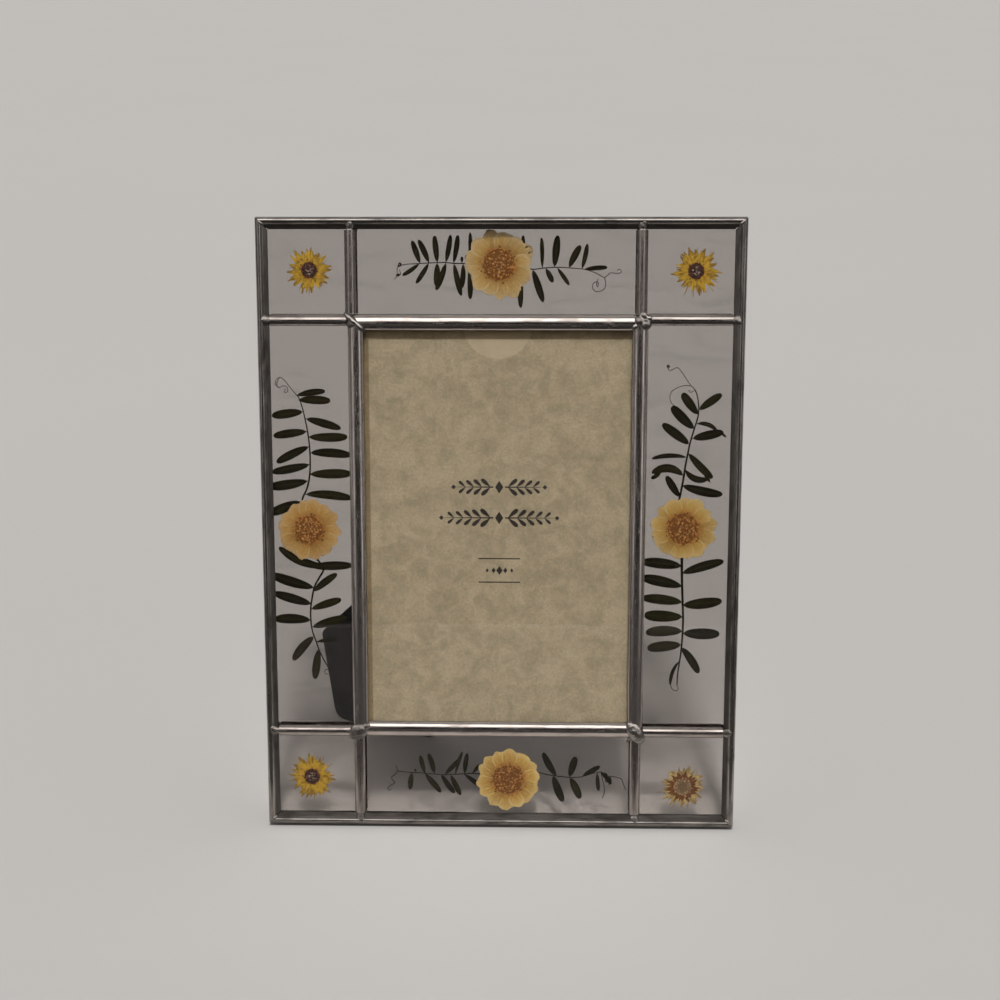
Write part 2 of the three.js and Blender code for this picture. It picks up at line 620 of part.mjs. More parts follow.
addRing('border_came', borderProfile(), FACE);
addRing('pocket_came', ringProfile(), POCKET);
addBars();
addGlass();
addCard();
addBackingBoard();
addTabs();
addFlowers(DAISIES, scallops, daisyFinish);
addFlowers(SMALL_FLOWERS, spikes, smallFlowerFinish);
for (const [name, sprig] of Object.entries(SPRIGS)) {
  addSprig(name, sprig);
}
addHinge();
addLeg();
hinge.add(leg);
frame.add(hinge);

// Lean the frame back until its rear bottom edge and the leg's foot stand on Z = 0, and
// put the middle of its footprint at the origin.
frame.rotation.x = -LEAN;
frame.position.z = CAME_DEPTH * Math.sin(LEAN);
const standing = new THREE.Group();
standing.add(frame);
standing.updateMatrixWorld(true);
const footprint = new THREE.Box3().setFromObject(standing, true);
frame.position.y = -(footprint.min.y + footprint.max.y) / 2;

export default standing;
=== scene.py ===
"""Pressed flower frame: came strips, glass, pressed plants, card, board, hinge and stage."""
import json
import math
import random

import bmesh
import bpy
from bpy.props import FloatProperty, FloatVectorProperty, IntProperty, PointerProperty
from mathutils import Matrix, Vector, noise


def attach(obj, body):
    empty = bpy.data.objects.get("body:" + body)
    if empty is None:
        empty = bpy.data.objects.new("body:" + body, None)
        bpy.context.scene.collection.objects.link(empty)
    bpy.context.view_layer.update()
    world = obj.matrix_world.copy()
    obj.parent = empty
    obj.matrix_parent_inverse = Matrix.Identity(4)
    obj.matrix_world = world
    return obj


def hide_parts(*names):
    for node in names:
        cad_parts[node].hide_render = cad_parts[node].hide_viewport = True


bl_info = {
    "name": "Pressed Flower Frame",
    "version": (1, 0, 0),
    "blender": (4, 5, 0),
    "location": "3D View > Sidebar > Pressed Frame",
    "description": "Finishes a came and glass picture frame that holds pressed flowers",
    "category": "Add Mesh",
}

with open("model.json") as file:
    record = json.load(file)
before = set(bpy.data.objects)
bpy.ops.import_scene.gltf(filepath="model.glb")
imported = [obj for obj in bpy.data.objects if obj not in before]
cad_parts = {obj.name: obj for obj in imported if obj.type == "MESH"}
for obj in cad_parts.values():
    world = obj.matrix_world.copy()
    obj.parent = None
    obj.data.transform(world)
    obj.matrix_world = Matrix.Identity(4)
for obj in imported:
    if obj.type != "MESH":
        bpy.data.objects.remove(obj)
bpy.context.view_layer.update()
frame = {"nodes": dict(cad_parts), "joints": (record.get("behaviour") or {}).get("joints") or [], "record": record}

# --- Face coordinates ----------------------------------------------------------------
# Pieces are drawn on the leaning face in millimetres: u to the right of the middle, d
# back from the front plane, v up from the bottom edge.

MM = 0.001
MOUNTS = {mount["name"]: mount for mount in frame["record"]["mounts"]}
FOOT_DEPTH = 4.1 * MM
UP = -Vector(MOUNTS["bottom_face"]["axis"])
RIGHT = Vector((1, 0, 0))
BACK = UP.cross(RIGHT)
ORIGIN = Vector(MOUNTS["bottom_face"]["pos_m"]) - BACK * FOOT_DEPTH
LEAN = math.atan2(UP.y, UP.z)
FACE = Matrix.Translation(ORIGIN) @ Matrix((RIGHT, BACK, UP)).transposed().to_4x4()

# Depths of the layers, in millimetres.
FLANGE_UNDER = 1.6
FLANGE_BACK = 6.15
CAME_DEPTH = 7.2
PETAL_MIDDLE = 3.73
DISC_MIDDLE = 3.66
SPRIG_MIDDLE = 4.03
SPRIG_ROOM = 0.12
CARD_FRONT = 3.75
INK_FRONT, INK_BACK = CARD_FRONT - 0.05, CARD_FRONT - 0.002


def on_face(point):
    """A point of the face, in millimetres, as a place in metres."""
    return FACE @ (Vector(point) * MM)


def face_box(node):
    """Lowest and highest corner of a solid in face millimetres."""
    to_face = FACE.inverted()
    points = [to_face @ vertex.co / MM for vertex in frame["nodes"][node].data.vertices]
    low = Vector([min(axis) for axis in zip(*points)])
    high = Vector([max(axis) for axis in zip(*points)])
    return low, high


# --- Node helpers --------------------------------------------------------------------

class Value:
    """What a node gives, which can be reckoned with like a number."""

    def __init__(self, socket):
        self.socket = socket
        self.tree = socket.id_data

    def __add__(self, other):
        return maths("ADD", self, other)

    def __sub__(self, other):
        return maths("SUBTRACT", self, other)

    def __rsub__(self, other):
        return maths("SUBTRACT", other, self)

    def __mul__(self, other):
        return maths("MULTIPLY", self, other)

    def __truediv__(self, other):
        return maths("DIVIDE", self, other)

    def __rtruediv__(self, other):
        return maths("DIVIDE", other, self)

    __radd__ = __add__
    __rmul__ = __mul__


def tree_of(parts):
    """The tree of the first of these parts that is a value."""
    return next(part.tree for part in parts if isinstance(part, Value))


def feed(socket, value):
    """Sets an input, or links it to a value or to a node's first output."""
    if isinstance(value, bpy.types.Node):
        value = value.outputs[0]
    if isinstance(value, Value):
        value = value.socket
    if isinstance(value, bpy.types.NodeSocket):
        socket.id_data.links.new(value, socket)
    else:
        socket.default_value = value


def put(tree, kind, inputs=None, **settings):
    """Adds a node with its settings, and feeds its inputs."""
    node = tree.nodes.new(kind)
    for name, setting in settings.items():
        setattr(node, name, setting)
    for key, value in (inputs or {}).items():
        feed(node.inputs[key], value)
    return node


def output(tree, kind, inputs=None, **settings):
    """Adds a node, and returns the value that it gives first."""
    return Value(put(tree, kind, inputs, **settings).outputs[0])


def maths(operation, *values):
    """What a Math node makes of these values."""
    return output(tree_of(values), "ShaderNodeMath", dict(enumerate(values)), operation=operation)


def vector_maths(operation, *values):
    """What a Vector Math node makes of these values."""
    node = put(tree_of(values), "ShaderNodeVectorMath", dict(enumerate(values)), operation=operation)
    return Value(node.outputs["Value" if operation in ("LENGTH", "DISTANCE") else "Vector"])


def spread(value, low, high, to_low=0.0, to_high=1.0):
    """Maps a value from one range to another, with soft ends."""
    inputs = {"Value": value, "From Min": low, "From Max": high, "To Min": to_low, "To Max": to_high}
    return output(value.tree, "ShaderNodeMapRange", inputs, interpolation_type="SMOOTHSTEP")


def band(value, low, high, soft):
    """1 between low and high and 0 outside, with soft sides."""
    return spread(value, low - soft, low + soft) * spread(value, high - soft, high + soft, 1.0, 0.0)


def tint(factor, first, second, mode="MIX"):
    """Two colours, mixed or multiplied."""
    tree = tree_of((factor, first, second))
    colours = {0: factor, 6: first, 7: second}
    return Value(put(tree, "ShaderNodeMix", colours, data_type="RGBA", blend_type=mode).outputs[2])


def grain(vector, scale, detail=2.0, roughness=0.5, distortion=0.0):
    """Noise around a half, on coordinates multiplied by the scale."""
    inputs = {
        "Vector": vector, "Scale": scale, "Detail": detail,
        "Roughness": roughness, "Distortion": distortion,
    }
    return output(vector.tree, "ShaderNodeTexNoise", inputs)


def ramp(factor, stops):
    """A colour ramp through (position, colour) stops."""
    node = put(factor.tree, "ShaderNodeValToRGB", {0: factor})
    elements = node.color_ramp.elements
    while len(elements) < len(stops):
        elements.new(1.0)
    for element, (position, colour) in zip(elements, stops):
        element.position = position
        element.color = rgba(colour)
    return Value(node.outputs[0])


def rgba(colour):
    """A colour with full alpha."""
    return (*colour[:3], 1.0)


def uv_vector(tree, name):
    """A piece's own UV map."""
    return output(tree, "ShaderNodeUVMap", uv_map=name)


def point_value(tree, name):
    """A number kept on the points of a piece."""
    return Value(put(tree, "ShaderNodeAttribute", attribute_name=name).outputs["Fac"])


def face_vector(tree):
    """Object coordinates turned into face coordinates, in metres."""
    return output(tree, "ShaderNodeMapping", {
        "Vector": put(tree, "ShaderNodeTexCoord").outputs["Object"],
        "Location": -(Matrix.Rotation(LEAN, 3, "X") @ ORIGIN), "Rotation": (LEAN, 0, 0),
    })


def scaled(vector, scale):
    """A vector stretched by a scale for each axis."""
    return vector_maths("MULTIPLY", vector, scale)


def parts_of(vector):
    """The three numbers in a vector."""
    return [Value(part) for part in put(vector.tree, "ShaderNodeSeparateXYZ", {0: vector}).outputs]


def point_of(tree, x=0.0, y=0.0, z=0.0):
    """A vector made of three numbers."""
    return output(tree, "ShaderNodeCombineXYZ", {0: x, 1: y, 2: z})


def bumped(height, distance):
    """A normal from a height between 0 and 1, for bumps of this many metres."""
    return output(height.tree, "ShaderNodeBump", {"Height": height, "Distance": distance, "Strength": 1.0})


def named(sockets):
    """Sockets as values by their names."""
    return {socket.name: Value(socket) for socket in sockets if socket.name}


# --- Shared surface effects ----------------------------------------------------------

def new_group(name, inputs, outputs):
    """An empty shader group: its tree, what it is given and the sockets of its result."""
    tree = bpy.data.node_groups.new(name, "ShaderNodeTree")
    for label, kind, default in inputs:
        socket = tree.interface.new_socket(label, in_out="INPUT", socket_type="NodeSocket" + kind)
        socket.default_value = default
    for label, kind in outputs:
        tree.interface.new_socket(label, in_out="OUTPUT", socket_type="NodeSocket" + kind)
    return tree, named(put(tree, "NodeGroupInput").outputs), put(tree, "NodeGroupOutput").inputs


def metal_group(name):
    """Bright metal under patches of tarnish, with drawn streaks, flecks, and painted shade that also roughens it.
    """
    tree, given, result = new_group(name, [
        ("Vector", "Vector", (0, 0, 0)), ("Bright", "Color", (0.6, 0.6, 0.6, 1)),
        ("Tarnish", "Color", (0.1, 0.1, 0.1, 1)), ("Cover", "Float", 0.5),
        ("Streaks", "Float", 1.0), ("Grime", "Float", 0.0),
    ], [("Color", "Color"), ("Roughness", "Float"), ("Height", "Float")])
    vector = given["Vector"]
    patches = grain(scaled(vector, (70, 300, 300)), 1.0, 4.0, 0.6, 0.4)
    drawn = grain(scaled(vector, (80, 4200, 4200)), 1.0, 2.0, 0.6)
    flecks = grain(vector, 2600.0, 2.0, 0.7)
    streaks = (drawn - 0.5) * given["Streaks"]
    start = given["Cover"] * -0.42 + 0.6
    cover = spread(streaks * 0.35 + patches, start, start + 0.36)
    colour = tint(cover, given["Bright"], given["Tarnish"])
    shade = streaks * 0.7 + flecks * 0.22 + 0.89
    colour = tint(1.0, colour, shade, "MULTIPLY")
    # Painted shade: the metal is darkened where the came's sides slope down to the glass.
    colour = tint(given["Grime"] * 0.82, colour, (0.035, 0.03, 0.026, 1))
    rough = cover * 0.14 + 0.17
    rough = streaks * 0.2 + rough
    rough = given["Grime"] * 0.3 + rough
    height = streaks * 0.45 + flecks * 0.35
    feed(result["Color"], colour)
    feed(result["Roughness"], rough)
    feed(result["Height"], patches * 0.35 + height)
    return tree


def mottle_group(name):
    """Soft clouds and fine flecks, as in paper and dried plants."""
    tree, given, result = new_group(name, [
        ("Vector", "Vector", (0, 0, 0)), ("Cloud Size", "Float", 0.01), ("Fleck Size", "Float", 0.0006),
    ], [("Cloud", "Float"), ("Fleck", "Float")])
    cloud = grain(given["Vector"], 1.0 / given["Cloud Size"], 4.0, 0.6, 0.6)
    fleck = grain(given["Vector"], 1.0 / given["Fleck Size"], 3.0, 0.65)
    feed(result["Cloud"], spread(cloud, 0.3, 0.7))
    feed(result["Fleck"], spread(fleck, 0.3, 0.7))
    return tree


def vein_group(name):
    """Veins along or slanting from the middle of a leaf or petal."""
    tree, given, result = new_group(name, [
        ("Vector", "Vector", (0, 0, 0)), ("Along", "Float", 0.0), ("Across", "Float", 5.0),
    ], [("Lines", "Float"), ("Midrib", "Float")])
    along, across, _ = parts_of(given["Vector"])
    side = maths("ABSOLUTE", across)
    phase = along * given["Along"] + side * given["Across"]
    phase = phase + grain(given["Vector"], 3.0)
    wave = maths("SINE", phase * math.tau)
    feed(result["Lines"], spread(wave, 0.2, 1.0))
    feed(result["Midrib"], spread(side, 0.05, 0.16, 1.0, 0.0))
    return tree


def dust_group(name):
    """Thin dust and wipe marks."""
    tree, given, result = new_group(name, [
        ("Vector", "Vector", (0, 0, 0)), ("Amount", "Float", 0.3),
    ], [("Mask", "Float")])
    wiped = grain(scaled(given["Vector"], (26, 26, 90)), 1.0, 4.0, 0.6, 1.2)
    specks = spread(grain(given["Vector"], 1500.0, 2.0, 0.6), 0.6, 0.75)
    mask = specks * 0.4 + spread(wiped, 0.42, 0.8)
    feed(result["Mask"], mask * given["Amount"])
    return tree


EFFECTS = {
    "Tarnished metal": metal_group, "Dry mottle": mottle_group,
    "Plant veins": vein_group, "Thin dust": dust_group,
}


def effect(tree, name, inputs):
    """Places a shared effect in a material; the group is built at its first use."""
    group = bpy.data.node_groups.get(name) or EFFECTS[name](name)
    return named(put(tree, "ShaderNodeGroup", inputs, node_tree=group).outputs)


# --- Materials -----------------------------------------------------------------------

# Painted shadow of the came on the card below and beside it, and the reach of the painted light round the card's
# notch.
CAME_SHADOW_TOP, CAME_SHADOW_LEFT, CAME_SHADOW_SOFT = 3.3, 1.7, 0.2
NOTCH_RADIUS, NOTCH_SOFT = 12.7, 0.5


def new_material(name, shader_inputs):
    """A material whose Principled shader gets what shader_inputs(tree) returns."""
    material = bpy.data.materials.new(name)
    material.use_nodes = True
    tree = material.node_tree
    tree.nodes.clear()
    shader = put(tree, "ShaderNodeBsdfPrincipled", shader_inputs(tree))
    put(tree, "ShaderNodeOutputMaterial", {"Surface": shader})
    return material


def came_finish(name, bright, tarnish, cover, shaded_from):
    """Drawn metal, with painted shade from this depth on, where it meets the glass."""
    def inputs(tree):
        _, depth, _ = parts_of(face_vector(tree))
        metal = effect(tree, "Tarnished metal", {
            "Vector": uv_vector(tree, "strip"), "Bright": rgba(bright),
            "Tarnish": rgba(tarnish), "Cover": cover,
            # Painted shade on the sides of the crown, from this depth down to the glass.
            "Grime": band(depth, shaded_from, 2.4 * MM, 0.18 * MM),
        })
        return {
            "Base Color": metal["Color"], "Metallic": 1.0, "Roughness": metal["Roughness"],
            "Normal": bumped(metal["Height"], 0.014 * MM),
        }
    return new_material(name, inputs)


def darker(colours, part):
    """The same colours, each brought down to this part."""
    return [[part * value for value in colour] for colour in colours]


def bare_metal_finish(name, bright, tarnish, cover, streaks, bump, rougher=0.0):
    """Bright metal with its own tarnish, made rougher all over by this much."""
    def inputs(tree):
        metal = effect(tree, "Tarnished metal", {
            "Vector": face_vector(tree), "Bright": bright, "Tarnish": tarnish,
            "Cover": cover, "Streaks": streaks,
        })
        return {
            "Base Color": metal["Color"], "Metallic": 1.0,
            "Roughness": metal["Roughness"] + rougher,
            "Normal": bumped(metal["Height"], bump),
        }
    return new_material(name, inputs)


def pane_finish(settings):
    """Clear glass with a grey tint, which is painted shade on what is seen through it; shadow rays pass straight
    through it.
    """
    def inputs(tree):
        place = face_vector(tree)
        wiped = effect(tree, "Thin dust", {"Vector": place, "Amount": 1.0})["Mask"]
        waves = grain(place, 40.0, 1.0)
        # Painted shade: the grey tint darkens what is seen behind the panes; dusty parts are a little darker
        # still.
        colour = tint(spread(wiped, 0.0, 1.4), rgba(settings.tint), rgba(settings.dusty_tint))
        return {
            "Base Color": colour, "Metallic": 0.0, "Transmission Weight": 1.0, "IOR": 1.5,
            "Specular Tint": (0.42, 0.42, 0.42, 1),
            "Roughness": wiped * 0.03,
            "Normal": bumped(waves, 0.02 * MM),
        }
    material = new_material("Window glass", inputs)
    tree = material.node_tree
    shader = tree.nodes["Principled BSDF"]
    clear = put(tree, "ShaderNodeBsdfTransparent", {"Color": rgba(settings.shadow_tint)})
    is_shadow = put(tree, "ShaderNodeLightPath").outputs["Is Shadow Ray"]
    mixed = put(tree, "ShaderNodeMixShader", {0: is_shadow, 1: shader, 2: clear})
    feed(tree.nodes["Material Output"].inputs["Surface"], mixed)
    return material


def card_finish(settings):
    """Parchment-coloured card, with painted shadow of the came at its top and left, and painted light at the thumb
    notch.
    """
    low, high = face_box("backing_board")
    notch = ((low.x + high.x) / 2 * MM, 0, high.z * MM)
    top = face_box("pocket_came_top")[0].z - CAME_SHADOW_TOP
    left = face_box("pocket_came_left")[1].x + CAME_SHADOW_LEFT

    def inputs(tree):
        place = face_vector(tree)
        across, _, up = parts_of(place)
        shadow_below_came = spread(up, (top - CAME_SHADOW_SOFT) * MM, (top + CAME_SHADOW_SOFT) * MM)
        shadow_beside_came = spread(across, (left - CAME_SHADOW_SOFT) * MM, (left + CAME_SHADOW_SOFT) * MM, 1.0, 0.0)
        reach = vector_maths("DISTANCE", scaled(place, (1, 0, 1)), notch)
        lit = spread(reach, (NOTCH_RADIUS - NOTCH_SOFT) * MM, (NOTCH_RADIUS + NOTCH_SOFT) * MM, 0.55, 0.0)
        mottle = effect(tree, "Dry mottle", {"Vector": place, "Cloud Size": 0.007, "Fleck Size": 0.0009})
        fine = effect(tree, "Dry mottle", {"Vector": place, "Cloud Size": 0.0024, "Fleck Size": 0.0003})
        colour = tint(mottle["Cloud"], rgba(settings.card_dark), rgba(settings.card_light))
        colour = tint(fine["Cloud"] * 0.45, colour, rgba(settings.card_warm))
        colour = tint(1.0, colour, mottle["Fleck"] * 0.2 + 0.9, "MULTIPLY")
        colour = tint(lit, colour, rgba(settings.card_lit))
        # Painted shadow: the card is darkened in a strip below the top came and beside the left came.
        colour = tint(maths("MAXIMUM", shadow_below_came, shadow_beside_came), colour, (0.62, 0.56, 0.46, 1), "MULTIPLY")
        return {
            "Base Color": colour, "Roughness": spread(fine["Fleck"], 0.0, 1.0, 0.6, 0.78),
            "Normal": bumped(fine["Fleck"], 0.02 * MM),
        }
    return new_material("Parchment card", inputs)


def ink_finish():
    """Brownish black printing ink."""
    def inputs(tree):
        mottle = effect(tree, "Dry mottle", {"Vector": face_vector(tree), "Fleck Size": 0.0004})
        colour = tint(mottle["Fleck"], (0.014, 0.011, 0.01, 1), (0.03, 0.024, 0.02, 1))
        return {"Base Color": colour, "Roughness": 0.6}
    return new_material("Dark ink", inputs)


def board_finish(settings):
    """Charcoal paper with a pebbled grain and a little dust."""
    def inputs(tree):
        place = face_vector(tree)
        mottle = effect(tree, "Dry mottle", {"Vector": place, "Cloud Size": 0.02, "Fleck Size": 0.0011})
        dust = effect(tree, "Thin dust", {"Vector": place, "Amount": 0.1})["Mask"]
        colour = tint(mottle["Cloud"], rgba(settings.paper), rgba(settings.paper_worn))
        colour = tint(dust, colour, (0.16, 0.15, 0.14, 1))
        return {
            "Base Color": colour, "Roughness": spread(mottle["Fleck"], 0.0, 1.0, 0.62, 0.85),
            "Specular IOR Level": 0.25, "Normal": bumped(mottle["Fleck"], 0.09 * MM),
        }
    return new_material("Charcoal paper", inputs)


def leaf_finish(settings):
    """Dried leaf, nearly black, with a paler midrib and slanting veins."""
    def inputs(tree):
        blade = uv_vector(tree, "blade")
        veins = effect(tree, "Plant veins", {"Vector": blade, "Along": 9.0, "Across": -2.6})
        mottle = effect(tree, "Dry mottle", {
            "Vector": face_vector(tree), "Cloud Size": 0.003, "Fleck Size": 0.0005,
        })
        age = mottle["Cloud"] * 0.4 + point_value(tree, "tone")
        colour = tint(spread(age, 0.2, 1.2), rgba(settings.leaf_dark), rgba(settings.leaf_brown))
        lines = veins["Lines"] * 0.25 + veins["Midrib"] * 0.5
        colour = tint(lines, colour, rgba(settings.leaf_vein))
        height = mottle["Fleck"] * 0.4 + lines
        return {
            "Base Color": colour, "Roughness": 0.72, "Specular IOR Level": 0.15,
            "Normal": bumped(height, 0.05 * MM),
        }
    return new_material("Dried leaf", inputs)


def petal_finish(name, root, middle, edge):
    """Thin dried petal: darker at its root, streaked, and pale at its edge."""
    def inputs(tree):
        blade = uv_vector(tree, "blade")
        along, across, _ = parts_of(blade)
        veins = effect(tree, "Plant veins", {"Vector": blade, "Along": 0.4, "Across": 5.4})
        mottle = effect(tree, "Dry mottle", {
            "Vector": face_vector(tree), "Cloud Size": 0.0022, "Fleck Size": 0.0004,
        })
        side = maths("ABSOLUTE", across)
        rim = maths("MAXIMUM", spread(along, 0.7, 1.0), spread(side, 0.72, 1.02))
        rim = rim * spread(along, 0.3, 0.8)
        # The pale rim is partly the petal's own faded edge and partly painted light through its thin edge.
        faded_rim_and_glow = mottle["Cloud"] * 0.3 + rim - 0.15
        stripes = grain(scaled(blade, (1.3, 6.5, 1)), 1.0, 3.0, 0.7, 0.5)
        colour = tint(spread(along, 0.15, 0.8), rgba(root), rgba(middle))
        colour = tint(spread(stripes, 0.5, 0.68, 0.0, 0.85), colour, (0.42, 0.37, 0.1, 1))
        colour = tint(faded_rim_and_glow, colour, rgba(edge))
        tone = point_value(tree, "tone") * 0.3 + 0.72
        tone = mottle["Fleck"] * 0.34 + tone
        colour = tint(1.0, colour, tone, "MULTIPLY")
        # Painted shade: darker along the petal's sides towards its root, where the petals overlap; the veins join
        # it after.
        crease_shade_and_veins = spread(side, 0.5, 0.8)
        crease_shade_and_veins = crease_shade_and_veins * spread(along, 0.4, 0.95, 1.0, 0.0)
        crease_shade_and_veins = maths("MAXIMUM", veins["Lines"], crease_shade_and_veins * 0.3)
        colour = tint(crease_shade_and_veins * 0.6, colour, rgba(root))
        pale = spread(stripes, 0.32, 0.48, 0.75, 0.0)
        colour = tint(pale * spread(along, 0.2, 0.6), colour, rgba(edge))
        height = mottle["Fleck"] * 0.35 + veins["Lines"]
        height = stripes * 0.8 + height
        return {
            "Base Color": colour, "Roughness": 0.62, "Normal": bumped(height, 0.1 * MM),
        }
    return new_material(name, inputs)


def ragged_petal_finish(name, root, middle, tip):
    """Narrow dried petal with burnt tips and dark lines along it."""
    def inputs(tree):
        blade = uv_vector(tree, "blade")
        along, _, _ = parts_of(blade)
        veins = effect(tree, "Plant veins", {"Vector": blade, "Along": 0.0, "Across": 1.6})
        mottle = effect(tree, "Dry mottle", {
            "Vector": face_vector(tree), "Cloud Size": 0.0012, "Fleck Size": 0.0003,
        })
        burnt = mottle["Cloud"] * 0.5 + along
        burnt = point_value(tree, "tone") * 0.6 + burnt
        colour = tint(spread(along, 0.1, 0.5), rgba(root), rgba(middle))
        colour = tint(spread(burnt, 0.95, 1.6, 0.0, 0.85), colour, rgba(tip))
        colour = tint(veins["Lines"] * 0.35, colour, rgba(root))
        return {
            "Base Color": colour, "Roughness": 0.66,
            "Normal": bumped(veins["Lines"], 0.04 * MM),
        }
    return new_material(name, inputs)


def floret_finish(name, dark, bright_stops, mixed_from, mixed_to):
    """Speckled disc: each floret has its own tone, over a ramp from the middle out."""
    def inputs(tree):
        reach = point_value(tree, "reach")
        tone = point_value(tree, "tone")
        mottle = effect(tree, "Dry mottle", {
            "Vector": face_vector(tree), "Cloud Size": 0.0015, "Fleck Size": 0.0003,
        })
        lit = ramp(reach, bright_stops)
        mixed = mottle["Fleck"] * 0.35 + tone - 0.15
        return {
            "Base Color": tint(spread(mixed, mixed_from, mixed_to), rgba(dark), lit),
            "Roughness": 0.75, "Normal": bumped(mottle["Fleck"], 0.05 * MM),
        }
    return new_material(name, inputs)


def floor_finish(settings):
    """Pale matt table with faint clouds."""
    def inputs(tree):
        cloud = grain(Value(put(tree, "ShaderNodeTexCoord").outputs["Object"]), 3.0)
        shaded = [part * 0.97 for part in settings.floor]
        return {
            "Base Color": tint(cloud, rgba(settings.floor), rgba(shaded)),
            "Roughness": 0.9, "Specular IOR Level": 0.1,
        }
    return new_material("Pale table", inputs)


# --- Mesh helpers --------------------------------------------------------------------

def link(name, data):
    """A new object in the scene."""
    thing = bpy.data.objects.new(name, data)
    bpy.context.scene.collection.objects.link(thing)
    return thing


def settle(piece, body, slot, *nodes):
    """Gives a finished piece its body and hides the solids it stands for. The slot is not used."""
    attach(piece, body)
    if nodes:
        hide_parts(*nodes)


def dress(mesh, material):
    """Gives a mesh this one material."""
    mesh.materials.clear()
    mesh.materials.append(material)


def face_outwards(mesh, sharp_degrees=40.0):
    """Turns the faces of closed shapes outwards and smooths all but their sharp edges."""
    shape = bmesh.new()
    shape.from_mesh(mesh)
    bmesh.ops.recalc_face_normals(shape, faces=shape.faces)
    shape.to_mesh(mesh)
    shape.free()
    mesh.shade_smooth()
    mesh.set_sharp_from_angle(angle=math.radians(sharp_degrees))


def soften(node, body, slot, width, material):
    """Stands in for a solid with a copy whose sharp edges are rounded by this many millimetres."""
    shape = bmesh.new()
    shape.from_mesh(frame["nodes"][node].data)
    bmesh.ops.remove_doubles(shape, verts=shape.verts, dist=0.001 * MM)
    bmesh.ops.dissolve_limit(shape, angle_limit=math.radians(1), verts=shape.verts, edges=shape.edges)
    sharp = [edge for edge in shape.edges
             if edge.is_manifold and edge.calc_face_angle() > math.radians(35)]
    bmesh.ops.bevel(shape, geom=sharp, offset=width * MM, segments=3, profile=0.5,
                    affect="EDGES", clamp_overlap=True)
    mesh = bpy.data.meshes.new(node + "_finished")
    shape.to_mesh(mesh)
    shape.free()
    dress(mesh, material)
    face_outwards(mesh)
    settle(link(mesh.name, mesh), body, slot, node)


class Shells:
    """Closed thin shapes gathered in one mesh, each with a UV place and a tone."""

    def __init__(self):
        self.points = []
        self.faces = []
        self.places = []
        self.tones = []

    def loft(self, rings, places, tone):
        """Joins equal rings of points into one closed skin."""
        start = len(self.points)
        count = len(rings[0])
        for ring, spots in zip(rings, places):
            self.points.extend(ring)
            self.places.extend(spots)
            self.tones.extend([tone] * count)
        for row in range(len(rings) - 1):
            base = start + row * count
            for i in range(count):
                after = (i + 1) % count
                self.faces.append((base + i, base + after, base + count + after, base + count + i))
        last = start + (len(rings) - 1) * count
        self.faces.append(tuple(range(start + count - 1, start - 1, -1)))
        self.faces.append(tuple(range(last, last + count)))

    def inked(self, outline):
        """Prints the shape inside this outline of (u, v) points on the card."""
        rings = [[(u, depth, v) for u, v in outline] for depth in (INK_FRONT, INK_BACK)]
        self.loft(rings, [[(0, 0)] * len(outline)] * 2, 0.5)

    def mesh(self, name, material):
        """All the shapes as one mesh."""
        mesh = bpy.data.meshes.new(name)
        mesh.from_pydata([on_face(point) for point in self.points], [], self.faces)
        blade = mesh.uv_layers.new(name="blade")
        for loop in mesh.loops:
            blade.data[loop.index].uv = self.places[loop.vertex_index]
        tone = mesh.attributes.new("tone", "FLOAT", "POINT")
        tone.data.foreach_set("value", self.tones)
        mesh.materials.append(material)
        face_outwards(mesh)
        return mesh


def smooth_line(points, steps):
    """A Catmull-Rom curve through the points, with this many steps between each two."""
    line = [Vector(point) for point in points]
    ends = [line[0] * 2 - line[1], *line, line[-1] * 2 - line[-2]]
    smooth = []
    for a, b, c, d in zip(ends, ends[1:], ends[2:], ends[3:]):
        for i in range(steps):
            t = i / steps
            smooth.append(0.5 * ((2 * b) + (c - a) * t + (2 * a - 5 * b + 4 * c - d) * t ** 2
                                 + (3 * b - a - 3 * c + d) * t ** 3))
    return [*smooth, line[-1]]


# --- Geometry Nodes helpers ----------------------------------------------------------

def new_maker(name, inputs):
    """An empty Geometry Nodes tree, what it is given and the sockets of its result."""
    tree = bpy.data.node_groups.new(name, "GeometryNodeTree")
    for label, kind in inputs:
        tree.interface.new_socket(label, in_out="INPUT", socket_type="NodeSocket" + kind)
    tree.interface.new_socket("Geometry", in_out="OUTPUT", socket_type="NodeSocketGeometry")
    return tree, named(put(tree, "NodeGroupInput").outputs), put(tree, "NodeGroupOutput").inputs


def captured(tree, geometry, kind, field):
    """Keeps a field's value on the points: returns the geometry and the kept value."""
    node = put(tree, "GeometryNodeCaptureAttribute")
    node.capture_items.new(kind, "Value")
    feed(node.inputs[0], geometry)
    feed(node.inputs[1], field)
    return node.outputs[0], Value(node.outputs[1])


def stored(tree, geometry, name, kind, domain, value):
    """Stores a value under a name for the materials."""
    node = put(tree, "GeometryNodeStoreNamedAttribute", {"Geometry": geometry, "Name": name},
               data_type=kind, domain=domain)
    feed(next(s for s in node.inputs if s.name == "Value" and s.enabled), value)
    return node


def distance_along(tree):
    """How far along its curve a point is."""
    return put(tree, "GeometryNodeSplineParameter").outputs["Length"]


def shape_of(tree, thing):
    """The geometry of another object."""
    return put(tree, "GeometryNodeObjectInfo", {"Object": thing}).outputs["Geometry"]


def random_number(tree, low, high, seed):
    """A random number between two ends for each point."""
    node = put(tree, "FunctionNodeRandomValue", {2: low, 3: high, "Seed": seed}, data_type="FLOAT")
    return Value(node.outputs[1])


def finish_maker(tree, geometry, material, result):
    """Ends a tree in Realize Instances and Set Material."""
    real = put(tree, "GeometryNodeRealizeInstances", {0: geometry})
    dressed = put(tree, "GeometryNodeSetMaterial", {"Geometry": real, "Material": material})
    feed(result["Geometry"], dressed)


